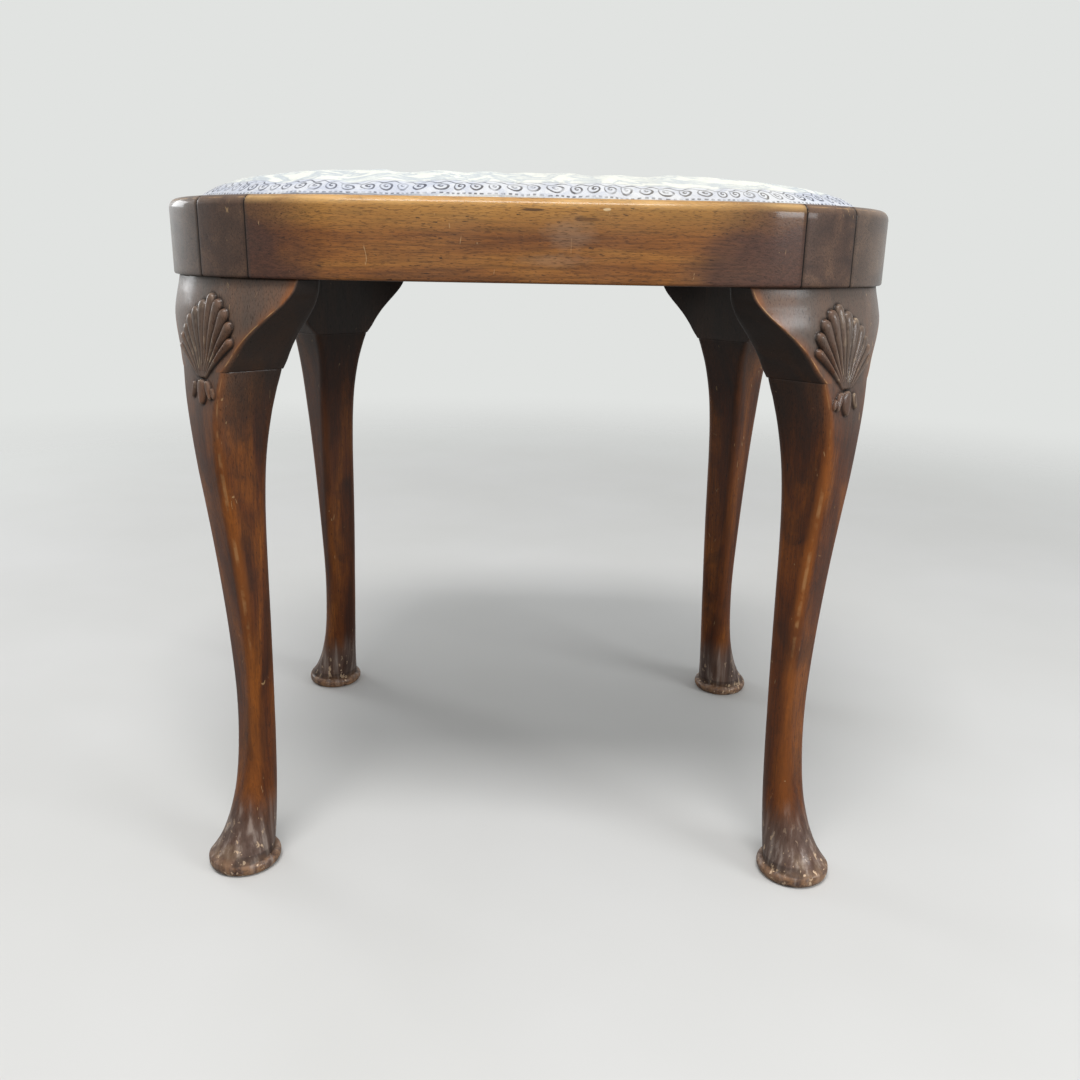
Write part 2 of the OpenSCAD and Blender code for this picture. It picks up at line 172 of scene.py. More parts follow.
# %% [markdown]
# The setting is plain: a pale floor that fades into a pale surround, so that the stool has no horizon
# behind it from any side. Camera, glossy and clear rays see both pale, and other rays see them darker,
# so that they don't light the stool from all round. In the polish the floor shows less than half as
# much, because a bright floor would leave a haze on the legs.
# %% Floor and surround
PALE, DIM_SKY, SKY_STRENGTH = srgb(225, 227, 225), (0.95, 0.98, 1, 1), 0.42
FLOOR_R, FADE_START, FADE_END, LESS_IN_POLISH = 4, 0.75, 2.4, 0.55


def seen_rays(tree):
    """1 for the rays that see things pale, and 1 for the glossy ones among them."""
    rays = add(tree, "ShaderNodeLightPath").outputs
    seen = maths(tree, "MAXIMUM", rays["Is Camera Ray"], rays["Is Transmission Ray"])
    return maths(tree, "MAXIMUM", seen, rays["Is Glossy Ray"]), rays["Is Glossy Ray"]


world = bpy.data.worlds.new("surround")
bpy.context.scene.world = world
world.use_nodes = True
tree = world.node_tree
tree.nodes.clear()
seen, glossy = seen_rays(tree)
dim = add(tree, "ShaderNodeBackground", {"Color": DIM_SKY, "Strength": SKY_STRENGTH})
bright = add(tree, "ShaderNodeBackground", {"Color": PALE, "Strength": 1.0})
both = add(tree, "ShaderNodeMixShader", {0: seen, 1: dim.outputs[0], 2: bright.outputs[0]})
add(tree, "ShaderNodeOutputWorld", {0: both.outputs[0]})

floor_paint, tree, shader = new_material("floor_paint")
here = add(tree, "ShaderNodeTexCoord").outputs["Object"]
distance = add(tree, "ShaderNodeVectorMath", {0: here}, operation="LENGTH").outputs["Value"]
paint = patches(tree, here, 3, 3, [(0.3, srgb(208, 207, 204)), (0.7, srgb(214, 213, 211))])
seen, glossy = seen_rays(tree)
seen = maths(tree, "SUBTRACT", seen, times(tree, glossy, LESS_IN_POLISH))
connect(tree, shader, {"Base Color": blend(tree, seen, srgb(84, 84, 84), paint), "Roughness": 0.9})
clear = add(tree, "ShaderNodeBsdfTransparent")
faded = add(tree, "ShaderNodeMixShader", {0: fade(tree, distance, FADE_START, FADE_END, "SMOOTHSTEP"),
                                          1: shader.outputs[0], 2: clear.outputs[0]})
connect(tree, next(n for n in tree.nodes if n.type == "OUTPUT_MATERIAL"), {0: faded.outputs[0]})
bpy.ops.mesh.primitive_circle_add(vertices=96, radius=FLOOR_R, fill_type="NGON")
floor = bpy.context.object
floor.name = "floor"
floor.data.materials.append(floor_paint)
print("floor radius", FLOOR_R, "m")

# %% Soft lights
DAYLIGHT, LAMPLIGHT = (0.95, 0.98, 1), (1, 0.97, 0.93)


def soft_light(name, place, target, size, power, tint=(1, 1, 1)):
    """A large square lamp at a place, turned to a target."""
    lamp = bpy.data.lights.new(name, "AREA")
    lamp.shape = "RECTANGLE"
    lamp.size, lamp.size_y = size
    lamp.energy = power
    lamp.color = tint
    holder = bpy.data.objects.new(name, lamp)
    holder.location = place
    holder.rotation_euler = (Vector(target) - Vector(place)).to_track_quat("-Z", "Y").to_euler()
    collection.objects.link(holder)


soft_light("overhead", (-0.3, -0.2, 2.6), (0, 0, 0.4), (2.2, 1.8), 9)
soft_light("ceiling_key", (-0.1, -1.0, 2.35), (0, -0.1, 0.4), (1.1, 0.6), 33)
soft_light("left_window", (-1.8, 1.2, 0.85), (0, 0, 0.4), (0.8, 0.55), 9, DAYLIGHT)
soft_light("right_window", (1.9, -1.25, 0.8), (0, 0, 0.4), (0.9, 0.45), 21, DAYLIGHT)
soft_light("front_fill", (0.2, -2.4, 1.3), (0, 0, 0.25), (2.4, 1.8), 8, LAMPLIGHT)
print("lights", len(bpy.data.lights))

# %% [markdown]
# Everything on this stool follows one outline: a slight bow along the front and back, a rounded corner,
# and a strong bow at each end. One function gives a point on it, at any distance inside it.
# %% The outline
HALF_W, HALF_D = 0.259, 0.209
LONG_R, CORNER_R, END_R = 2.5, 0.144, 0.337
CORNER = Vector((0.1045384, 0.0626796))
LONG_END, CORNER_END = 2.54311, 71.0487
BLOCK_START, BLOCK_END = 25.1056, 42.6127
RAIL_LOW, FRAME_TOP, RAIL_T, LIP_W, REBATE = 0.422, 0.470, 0.036, 0.017, 0.022
RAIL_MID = (RAIL_LOW + FRAME_TOP) / 2
FINE_TURNS = 4000


def outline_point(turn, inset=0.0):
    """A point at a turn from the back's middle clockwise, in degrees, that far inside the outline."""
    turn = turn % 360
    east = 1 if turn <= 180 else -1
    north = 1 if turn <= 90 or turn >= 270 else -1
    half = min(turn, 360 - turn)
    quarter = min(half, 180 - half)
    way = Vector((math.sin(math.radians(quarter)), math.cos(math.radians(quarter))))
    if quarter < LONG_END:
        spot = Vector((0, HALF_D - LONG_R)) + (LONG_R - inset) * way
    elif quarter < CORNER_END:
        spot = CORNER + (CORNER_R - inset) * way
    else:
        spot = Vector((HALF_W - END_R, 0)) + (END_R - inset) * way
    return Vector((east * spot[0], north * spot[1]))


def outline_turns(start, end, step):
    """Turns from start to end about one step in metres apart along the outline, and its length."""
    fine = np.linspace(start, end, FINE_TURNS)
    spots = np.array([outline_point(t) for t in fine])
    along = np.concatenate([[0], np.cumsum(np.linalg.norm(np.diff(spots, axis=0), axis=1))])
    count = max(2, round(along[-1] / step))
    return list(np.interp(np.linspace(0, along[-1], count + 1), along, fine)), float(along[-1])


print("outline length", round(outline_turns(0, 360, 0.01)[1], 4))

# %% Mesh helpers
def mesh_object(name, points, faces, edges=(), smooth=30):
    """A mesh object from points and faces; edges sharper than the angle stay crisp."""
    mesh = bpy.data.meshes.new(name)
    mesh.from_pydata([tuple(map(float, p)) for p in points], edges, faces)
    mesh.update()
    if faces:
        mesh.shade_smooth()
        mesh.set_sharp_from_angle(angle=math.radians(smooth))
    made = bpy.data.objects.new(name, mesh)
    collection.objects.link(made)
    return made


def store(thing, name, values):
    """Keeps one number for each vertex under a name that materials and nodes can read."""
    layer = thing.data.attributes.new(name, "FLOAT", "POINT")
    layer.data.foreach_set("value", np.asarray(values, dtype=np.float32).ravel())


def ring_edges(count):
    """Edges that join a number of points to a closed line."""
    return [(i, (i + 1) % count) for i in range(count)]


def tube_faces(rows, columns):
    """Faces between the closed rows of a grid of points, and one over each end."""
    sides = [(r * columns + c, r * columns + (c + 1) % columns,
              (r + 1) * columns + (c + 1) % columns, (r + 1) * columns + c)
             for r in range(rows - 1) for c in range(columns)]
    return sides + [tuple(range(columns - 1, -1, -1)), tuple(range((rows - 1) * columns, rows * columns))]


def plain_copy(thing, name):
    """The evaluated result of a thing's modifiers as a plain mesh object; the thing is removed."""
    evaluated = thing.evaluated_get(bpy.context.evaluated_depsgraph_get())
    mesh = bpy.data.meshes.new_from_object(evaluated)
    mesh.name = name
    made = bpy.data.objects.new(name, mesh)
    collection.objects.link(made)
    bpy.data.objects.remove(thing)
    return made


def node_group(name, inputs):
    """An empty geometry tree with named inputs: (tree, input node, output node)."""
    tree = bpy.data.node_groups.new(name, "GeometryNodeTree")
    tree.interface.new_socket("Geometry", in_out="INPUT", socket_type="NodeSocketGeometry")
    for label, kind in inputs:
        tree.interface.new_socket(label, in_out="INPUT", socket_type="NodeSocket" + kind)
    tree.interface.new_socket("Geometry", in_out="OUTPUT", socket_type="NodeSocketGeometry")
    return tree, tree.nodes.new("NodeGroupInput"), tree.nodes.new("NodeGroupOutput")


def run_nodes(thing, tree, values, name):
    """Runs a geometry tree on a thing with its inputs set by identifier, and returns a plain copy."""
    modifier = thing.modifiers.new("nodes", "NODES")
    modifier.node_group = tree
    for item in tree.interface.items_tree:
        if item.in_out == "INPUT" and item.name in values:
            modifier[item.identifier] = values[item.name]
    return plain_copy(thing, name)


# %% [markdown]
# The stool is walnut under an old french polish. Its grain runs along each piece, so one builder makes
# the wood and is told how to turn it: broad figure, fine streaks, open pores, dark flecks and cloudy
# polish. The age of it is laid over that in steps, each a function of its own, together with a painted
# sheen, a painted highlight and painted shade.
# %% The front rail's age and painted light
MARKS = (  # x and z of each mark's middle, its half width and height, tone, strength and softness
    (0.026, 0.4505, 0.012, 0.008, srgb(150, 122, 98), 0.4, 1.0),
    (0.004, 0.4632, 0.006, 0.0007, srgb(52, 28, 14), 0.8, 0.5),
    (0.036, 0.4585, 0.008, 0.0012, srgb(58, 30, 14), 0.6, 0.4),
    (0.047, 0.4640, 0.0025, 0.0009, srgb(226, 196, 150), 0.8, 0.3),
    (0.018, 0.4350, 0.016, 0.0030, srgb(150, 124, 100), 0.3, 1.0))
MARK_EDGE, MARK_WANDER = 1.8, 1.6
# Where the stain starts and is full: distances from its middle, the last ones for the very ends.
STAIN_MIDDLE, STAIN_SPAN, LAST_SPAN, LOW_PULL = -0.006, (0.112, 0.17), (0.105, 0.155), 1.1
# Heights over which the painted light along the top comes in.
LIT_TOP_HEIGHTS = (0.449, 0.466)


def stained_ends_and_lit_top(tree, place, apart, streak, colour, stain):
    """A painted golden light along the top, and stained dark towards both ends, further in along the lower
    edge.
    """
    bent = maths(tree, "MULTIPLY_ADD", noise(tree, place, (16, 16, 22), 3), 0.16, -0.08)
    off = maths(tree, "ABSOLUTE", maths(tree, "ADD", apart[0], -STAIN_MIDDLE))
    low_off = maths(tree, "MULTIPLY_ADD", maths(tree, "SUBTRACT", RAIL_MID, apart[2]), LOW_PULL, off)
    far = fade(tree, maths(tree, "ADD", low_off, bent), *STAIN_SPAN, "SMOOTHSTEP")
    # Painted light: the upper face is blended halfway towards gold.
    high = fade(tree, apart[2], *LIT_TOP_HEIGHTS)
    colour = blend(tree, times(tree, high, 0.5), colour, srgb(204, 152, 76))
    dark = blend(tree, 0.8, stain, ramp(tree, streak, [(0.36, 0.62), (0.62, 1.2)]), "MULTIPLY")
    last = fade(tree, off, *LAST_SPAN, "SMOOTHSTEP")
    far = maths(tree, "MAXIMUM", far, times(tree, last, 0.85))
    return blend(tree, times(tree, far, 0.92), colour, dark)


def old_marks(tree, place, apart, colour):
    """A pale rub, bruises and a chip near the middle of the front rail, each a ragged oval."""
    in_front = maths(tree, "LESS_THAN", apart[1], 0)
    for x, z, wide, tall, tone, share, soft in MARKS:
        across = maths(tree, "DIVIDE", maths(tree, "SUBTRACT", apart[0], x), wide)
        upward = maths(tree, "DIVIDE", maths(tree, "SUBTRACT", apart[2], z), tall)
        ragged = noise(tree, place, (120, 120, 200), 4)
        away = maths(tree, "MULTIPLY_ADD", ragged, MARK_WANDER, span(tree, across, upward))
        inside = fade(tree, away, MARK_EDGE + soft / 2, MARK_EDGE - soft / 2)
        colour = blend(tree, times(tree, inside, in_front, share), colour, tone)
    return colour


print("marks on the front rail", len(MARKS))

# %% Wear, scuffs and painted sheen
BARE_WEAR = (0.82, 1.0)
# Heights between which each kind of age on the legs, and the painted sheen on the knee and foot, goes from
# nothing to full.
KNEE_SHEEN, FOOT_GREY_AND_SHEEN, RUBBED_RIM, FOOT_CHIPS = (0.33, 0.43), (0.082, 0.05), (0.014, 0.002), (0.045, 0.01)


def rubbed_and_highlighted(tree, place, grain, colour, wear_and_highlight_tone):
    """Edges worn warm and then bare, where on the rails the warm tone is also a painted highlight, and the
    tops of the carving pale, partly a painted highlight, with worn chips.
    """
    worn = stored(tree, "wear_and_highlight")
    patchy = patches(tree, grain, (24, 90, 90), 5, [(0.36, 0.25), (0.58, 1.0)])
    colour = blend(tree, times(tree, worn, patchy, 0.6), colour, wear_and_highlight_tone)
    bare = patches(tree, place, 90, 4, [(0.45, 0.0), (0.6, 0.75)])
    colour = blend(tree, times(tree, fade(tree, worn, *BARE_WEAR), bare), colour, srgb(206, 164, 112))
    # Rib tops of the carving: pale for wear and for a painted highlight.
    pale = stored(tree, "pale")
    colour = blend(tree, times(tree, pale, 0.7), colour, srgb(156, 136, 118))
    chips = patches(tree, place, (190, 190, 110), 3, [(0.58, 0.0), (0.63, 0.9)])
    return blend(tree, times(tree, pale, chips), colour, srgb(216, 192, 158))


def scuffed_foot_and_sheen(tree, place, grain, height, cloud, colour):
    """A foot gone grey-brown with painted streaks of sheen, a worn rim and chips close to the floor."""
    low = fade(tree, maths(tree, "MULTIPLY_ADD", cloud, 0.04, height), *FOOT_GREY_AND_SHEEN, "SMOOTHSTEP")
    # Painted sheen: bright grey streaks along the grain over a dark grey-brown.
    grey_and_sheen_tones = [(0.34, srgb(62, 48, 42)), (0.52, srgb(96, 80, 72)), (0.68, srgb(156, 142, 132))]
    grey = patches(tree, grain, (7, 170, 170), 5, grey_and_sheen_tones, rough=0.6)
    colour = blend(tree, times(tree, low, 0.85), colour, grey)
    scuffs = patches(tree, place, (150, 150, 190), 4, [(0.4, 0.0), (0.6, 0.9)], rough=0.7)
    colour = blend(tree, times(tree, fade(tree, height, *RUBBED_RIM), scuffs), colour, srgb(176, 134, 98))
    chips = patches(tree, place, (260, 260, 150), 3, [(0.63, 0.0), (0.66, 1.0)])
    return blend(tree, times(tree, chips, fade(tree, height, *FOOT_CHIPS)), colour, srgb(214, 184, 152))


print("a foot is grey below", FOOT_GREY_AND_SHEEN[0], "m")

# %% Walnut
def walnut(name, turn, tones, wear_and_highlight_tone=srgb(128, 102, 80), stain=None, foot=False, cloudy=0.14, painted_sheen=0.0,
           coat=0.35, gloss=0.1):
    """Polished walnut with its grain along x after the turn; stain is for the rails, foot for the legs."""
    material, tree, shader = new_material(name)
    place = add(tree, "ShaderNodeTexCoord").outputs["Object"]
    grain = add(tree, "ShaderNodeMapping", {"Vector": place, "Rotation": turn}).outputs[0]
    apart = add(tree, "ShaderNodeSeparateXYZ", {0: place}).outputs
    streak = noise(tree, grain, (34, 820, 820), 3, rough=0.6)
    pores = patches(tree, grain, (260, 2100, 2100), 2, [(0.54, 0.0), (0.64, 1.0)])
    flecks = patches(tree, grain, (170, 760, 760), 3, [(0.66, 0.0), (0.71, 1.0)])
    cloud = noise(tree, place, 15, 5, 0.4)
    colour = patches(tree, grain, (6, 34, 34), 6, list(zip((0.34, 0.5, 0.66), tones)), 1.2)
    streaks = ramp(tree, streak, [(0.36, 0.62), (0.5, 0.98), (0.62, 1.18)])
    colour = blend(tree, 0.85, colour, streaks, "MULTIPLY")
    if stain:
        colour = stained_ends_and_lit_top(tree, place, apart, streak, colour, stain)
        colour = old_marks(tree, place, apart, colour)
    # Random cloudy polish, plus a painted sheen: all over on the end rails and blocks, and on each upper
    # knee.
    cloud_and_sheen = maths(tree, "MULTIPLY_ADD", ramp(tree, cloud, [(0.45, 0.0), (0.7, 1.0)]), cloudy, painted_sheen)
    if foot:
        darker = patches(tree, place, (38, 38, 26), 4, [(0.5, 0.0), (0.68, 1.0)], 1.0)
        colour = blend(tree, times(tree, darker, 0.45), colour, srgb(36, 17, 8))
        # Painted sheen: the upper knee fades into the grey sheen tone.
        knee = fade(tree, maths(tree, "MULTIPLY_ADD", cloud, 0.05, apart[2]), *KNEE_SHEEN, "SMOOTHSTEP")
        cloud_and_sheen = maths(tree, "MULTIPLY_ADD", knee, 0.68, cloud_and_sheen)
    # Cloudy polish and painted sheen blend towards one grey-brown tone.
    colour = blend(tree, cloud_and_sheen, colour, srgb(96, 86, 77))
    colour = blend(tree, times(tree, pores, 0.5), colour, srgb(46, 24, 11))
    colour = blend(tree, times(tree, flecks, 0.8), colour, srgb(28, 14, 8))
    colour = rubbed_and_highlighted(tree, place, grain, colour, wear_and_highlight_tone)
    if foot:
        colour = scuffed_foot_and_sheen(tree, place, grain, apart[2], cloud, colour)
    scratches = patches(tree, place, (210, 210, 60), 3, [(0.715, 0.0), (0.74, 1.0)], 1.5)
    colour = blend(tree, times(tree, scratches, 0.45), colour, srgb(206, 170, 122))
    # Dark joints, dirty grooves and painted shade under the rails, on inner flanks and on the ears' ends
    # blend towards near black.
    grime_and_shade = stored(tree, "dirt_and_shade")
    dulled = maths(tree, "MULTIPLY_ADD", grime_and_shade, 0.35, maths(tree, "MULTIPLY_ADD", cloud, 0.3, 0.34))
    relief = maths(tree, "SUBTRACT", times(tree, streak, 0.6), times(tree, pores, 0.5))
    relief = maths(tree, "MULTIPLY_ADD", cloud, 0.9, relief)
    connect(tree, shader, {"Base Color": blend(tree, grime_and_shade, colour, srgb(18, 11, 8)), "Roughness": dulled,
                           "Specular IOR Level": 0.18, "Coat Weight": coat, "Coat Roughness": gloss,
                           "Normal": bumped(tree, relief, 0.3, 0.0004)})
    return material


QUARTER_TURN = math.pi / 2
rail_tones = (srgb(110, 64, 27), srgb(135, 83, 36), srgb(157, 104, 46))
# On the rails the worn top edge takes a pale gold tone, a painted highlight as well as wear.
rail_walnut = walnut("rail_walnut", (0, 0, 0), rail_tones, wear_and_highlight_tone=srgb(226, 184, 120),
                     stain=srgb(76, 46, 36), gloss=0.13)
# End rails and blocks get a grey painted sheen blended in all over.
end_tones = (srgb(62, 42, 32), srgb(84, 60, 46), srgb(104, 78, 60))
end_walnut = walnut("end_walnut", (0, 0, QUARTER_TURN), end_tones, painted_sheen=0.25)
block_tones = (srgb(58, 38, 30), srgb(80, 56, 44), srgb(104, 76, 58))
block_walnut = {way: walnut("block_walnut_" + name, (0, 0, way * QUARTER_TURN / 2), block_tones,
                            painted_sheen=0.1, coat=0.18)
                for way, name in ((1, "rising"), (-1, "falling"))}
leg_tones = (srgb(58, 26, 8), srgb(92, 45, 12), srgb(132, 73, 21))
leg_walnut = walnut("leg_walnut", (0, QUARTER_TURN, 0), leg_tones, wear_and_highlight_tone=srgb(158, 90, 34), foot=True,
                    cloudy=0.05, coat=0.3, gloss=0.2)
print("walnuts", [m.name for m in bpy.data.materials if "walnut" in m.name])

# %% [markdown]
# The frame is a ring of eight pieces with one section: a rounded outer edge, a lip, and a rebate that
# holds the seat. Such a piece is a section swept along a path, so Geometry Nodes make it: the path and
# the section are drawn as polylines, and the section shrinks a little at each end, which leaves the
# fine groove that shows at every glued joint.
# %% Rail section
TOP_ROUND, LOW_ROUND, BACK_ROUND, LIP_ROUND = 0.006, 0.0015, 0.001, 0.0007
# Where the wear, and on the rails the painted highlight, sits on the section's top edge.
WEAR_AND_HIGHLIGHT_IN, WEAR_AND_HIGHLIGHT_REACH = 0.002, 0.0045


def arc(centre, radius, start, end, count):
    """Points of an arc, as (x, y)."""
    return [(centre[0] + radius * math.cos(math.radians(a)), centre[1] + radius * math.sin(math.radians(a)))
            for a in np.linspace(start, end, count)]


def rail_section():
    """The section as (outward, upward) from its middle, and how worn each point is; on the rails this also
    places a painted highlight along the top edge.
    """
    out, top, low = RAIL_T / 2, FRAME_TOP - RAIL_MID, RAIL_LOW - RAIL_MID
    lip, shelf = out - LIP_W, top - REBATE
    points = (arc((out - LOW_ROUND, low + LOW_ROUND), LOW_ROUND, -90, 0, 5)
              + [(out, y) for y in np.linspace(low + 0.004, top - 0.009, 9)]
              + arc((out - TOP_ROUND, top - TOP_ROUND), TOP_ROUND, 0, 90, 11)
              + arc((lip + LIP_ROUND, top - LIP_ROUND), LIP_ROUND, 90, 180, 4)
              + [(lip, shelf), (LIP_ROUND - out, shelf)]
              + arc((LIP_ROUND - out, shelf - LIP_ROUND), LIP_ROUND, 90, 180, 3)[1:]
              + arc((BACK_ROUND - out, low + BACK_ROUND), BACK_ROUND, 180, 270, 3))
    worn = [max(0.0, 1 - math.hypot(x - out + WEAR_AND_HIGHLIGHT_IN, y - top + WEAR_AND_HIGHLIGHT_IN) / WEAR_AND_HIGHLIGHT_REACH) for x, y in points]
    return points, worn


section_points, section_wear_and_highlight = rail_section()
section = mesh_object("section", [(x, -y, 0) for x, y in section_points], [], ring_edges(len(section_points)))
store(section, "wear_and_highlight", section_wear_and_highlight)
print("section points", len(section_points))

# %% The sweep
swept_rail, given, result = node_group("swept_rail", [("Section", "Object"), ("Wood", "Material")])
path = add(swept_rail, "GeometryNodeMeshToCurve", {0: given.outputs["Geometry"]})
path = add(swept_rail, "GeometryNodeSetCurveNormal", {0: path.outputs[0]}, mode="Z_UP")
shrink = add(swept_rail, "GeometryNodeInputNamedAttribute", {"Name": "shrink"}, data_type="FLOAT")
drawn = add(swept_rail, "GeometryNodeObjectInfo", {0: given.outputs["Section"]})
profile = add(swept_rail, "GeometryNodeMeshToCurve", {0: drawn.outputs["Geometry"]})
swept = add(swept_rail, "GeometryNodeCurveToMesh",
            {0: path.outputs[0], 1: profile.outputs[0], "Scale": shrink.outputs[0], "Fill Caps": True})
real = add(swept_rail, "GeometryNodeRealizeInstances", {0: swept.outputs[0]})
coated = add(swept_rail, "GeometryNodeSetMaterial", {0: real.outputs[0], "Material": given.outputs["Wood"]})
connect(swept_rail, result, {0: coated.outputs[0]})
PATH_STEP, GROOVE_STEP = 0.003, 0.0004


def at_both_ends(ends, middle, count):
    """A row of numbers that are the same in the middle, with given ones at each end."""
    return [*ends, *[middle] * (count - 2 * len(ends)), *ends[::-1]]


def joint_path(name, start, end):
    """A polyline on the section's middle from one turn to another, with close points at the joints."""
    turns, length = outline_turns(end, start, PATH_STEP)
    step = (end - start) * GROOVE_STEP / length
    turns = [end, end - step, end - 2 * step] + turns[1:-1] + [start + 2 * step, start + step, start]
    points = [(*outline_point(t, RAIL_T / 2), RAIL_MID) for t in turns]
    made = mesh_object(name, points, [], [(i, i + 1) for i in range(len(points) - 1)])
    store(made, "shrink", at_both_ends((0.978, 0.992), 1.0, len(points)))
    store(made, "dirt_and_shade", at_both_ends((1, 1, 0.35), 0.0, len(points)))
    return made


print("swept rail nodes", len(swept_rail.nodes))

# %% The eight pieces of the ring
def ring_piece(name, node, start, end, wood):
    """One piece of the frame's ring, from one turn to another."""
    path = joint_path(name + "_path", start, end)
    piece = run_nodes(path, swept_rail, {"Section": section, "Wood": wood}, name)
    piece.data.shade_smooth()
    piece.data.set_sharp_from_angle(angle=math.radians(40))
    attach(piece, "frame")
    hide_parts(node)
    return piece


ring = [ring_piece("front_rail_walnut", "front_rail", 180 - BLOCK_START, 180 + BLOCK_START, rail_walnut),
        ring_piece("rear_rail_walnut", "rear_rail", -BLOCK_START, BLOCK_START, rail_walnut),
        ring_piece("right_rail_walnut", "right_rail", BLOCK_END, 180 - BLOCK_END, end_walnut),
        ring_piece("left_rail_walnut", "left_rail", 180 + BLOCK_END, 360 - BLOCK_END, end_walnut)]
for side, start, way in (("rear_right", BLOCK_START, -1), ("front_right", 180 - BLOCK_END, 1),
                         ("front_left", 180 + BLOCK_START, -1), ("rear_left", 360 - BLOCK_END, 1)):
    ring.append(ring_piece(side + "_block_walnut", side + "_block", start,
                           start + BLOCK_END - BLOCK_START, block_walnut[way]))
bpy.data.objects.remove(section)
print("ring", {piece.name: len(piece.data.polygons) for piece in ring})

# %% [markdown]
# A cabriole leg is sawn from a square blank to one S-curve on two faces and then rounded by hand. Here
# it is a stack of outlines: at each height a rounded rectangle with a crowned front, round at the foot
# and square at the shoulder. The tables give shares of the height, from the CAD model, in millimetres.
# %% Leg curves
MM = 0.001
SHOULDER, EAR_H, PAD_H, FOOT_REACH, FOOT_R = 364.0, 58.0, 9.0, 141.0, 26.0
ANKLE, FRAME_R = 0.33, 140.5
FOOT_FLARE = [[0, 1], [0.012, 0.86], [0.03, 0.7], [0.063, 0.51], [0.1, 0.35], [0.14, 0.22], [0.195, 0.11],
              [0.264, 0.03], [ANKLE, 0]]
KNEE_RISE = [[ANKLE, 0], [0.4, 0.01], [0.5, 0.12], [0.59, 0.29], [0.67, 0.48], [0.75, 0.7], [0.825, 0.9],
             [0.9, 1], [0.95, 0.99], [1, 0.88]]
BACK_FOOT = [[0, 1], [0.058, 0.4], [0.14, 0.08], [0.25, 0], [ANKLE, 0]]
BACK_KNEE = [[ANKLE, 0], [0.6, 0], [0.74, 0.06], [0.84, 0.25], [0.92, 0.59], [1, 1]]
FOOT_WIDTH = [[0, 0.75], [0.03, 0.46], [0.063, 0.25], [0.1, 0.12], [0.14, 0.04], [0.2, 0], [ANKLE, 0]]
KNEE_WIDTH = [[ANKLE, 0], [0.5, 0.11], [0.6, 0.15], [0.7, 0.18], [0.8, 0.24], [0.89, 0.37], [0.95, 0.62],
              [1, 1]]
ARRIS = [[0, 0.5], [0.2, 0.48], [0.35, 0.42], [0.55, 0.32], [0.8, 0.2], [0.95, 0.1], [1, 0.08]]
KNEE_TOP = [[0, 0], [0.2, 0.2], [0.41, 0.28], [0.62, 0.39], [0.79, 0.64], [0.91, 0.86], [1, 1]]
EAR_SWEEP = [[0, 0], [0.1, 0.11], [0.22, 0.22], [0.345, 0.355], [0.465, 0.51], [0.585, 0.68], [0.72, 0.85],
             [0.86, 0.96], [1, 1]]
# A line of the leg: its measure at the ankle, then what the foot and the knee add, each with its table.
FRONT_LINE = (-6.5, 32.5, FOOT_FLARE, 15.5, KNEE_RISE)
BACK_LINE = (-27, 6, BACK_FOOT, -11.5, BACK_KNEE)
WIDTH_LINE = (30, 22, FOOT_WIDTH, 26, KNEE_WIDTH)


def table(x, rows):
    """A smooth curve through a table of [place, value]."""
    i = 0
    while i < len(rows) - 2 and x >= rows[i + 1][0]:
        i += 1
    (x0, y0), (x1, y1) = rows[i], rows[i + 1]
    step = x1 - x0
    t = min(max((x - x0) / step, 0), 1)

    def slope(k):
        a, b = rows[max(k - 1, 0)], rows[min(k + 1, len(rows) - 1)]
        return (b[1] - a[1]) / (b[0] - a[0])

    return (y0 * (1 + 2 * t) * (1 - t) ** 2 + y1 * (3 - 2 * t) * t * t
            + step * (slope(i) * t * (1 - t) ** 2 - slope(i + 1) * t * t * (1 - t)))


def leg_size(z, ankle, foot, foot_rows, knee, knee_rows):
    """A line's measure at a height of the leg, in mm."""
    return (ankle + foot * table(min((z - PAD_H) / SHOULDER, ANKLE), foot_rows)
            + knee * table(max(z / SHOULDER, ANKLE), knee_rows))


def front_r(z):
    """Radius of the leg's front face about the corner's centre."""
    below = FOOT_REACH + leg_size(min(z, SHOULDER), *FRONT_LINE)
    return below if z <= SHOULDER else below + (FRAME_R - below) * table((z - SHOULDER) / EAR_H, KNEE_TOP)


def between(value, start, end):
    """How far a value has come from a start to an end, from 0 to 1."""
    return np.clip((value - start) / (end - start), 0, 1)


print("front radius", [round(front_r(z), 1) for z in (10, 60, 120, 240, 335, 364, 400, 422)])

# %% [markdown]
# The knee carries a scallop shell over a small bud of petals, carved from the solid. The carving is a
# height field over the knee's face: a fan of convex ribs in stepped lobes that leans a little to the
# long side, with deep grooves between the lobes. It is drawn once on a fine raster, and the leg and its
# ears read it where they cross it, so that it runs over their joints without a step.
# %% The carved shell
SHELL_AT = (7.0, 355.0)
RIB_EDGES = (-58, -48.5, -38.5, -27.5, -16, -5, 5.2, 13.2, 21.5, 30.5, 39.2, 48)
RIB_REACH = (40.5, 43, 44, 47, 49.5, 53, 58, 56.5, 53.5, 49, 41.5)
GROOVE = (0, 0.4, 0.04, 0.38, 0.04, 0.34, 0.06, 0.34, 0.1, 0.06, 0.04, 0)
# Each petal's middle, top, length, half width, lean in degrees and height.
PETALS = ((5.8, 358.3, 15.8, 5.2, 4, 2.5), (-2.4, 356.4, 10.8, 2.6, -14, 1.9),
          (11.6, 357.6, 12.4, 2.9, 24, 2.1), (17.2, 353.6, 7.0, 2.0, 16, 1.3))


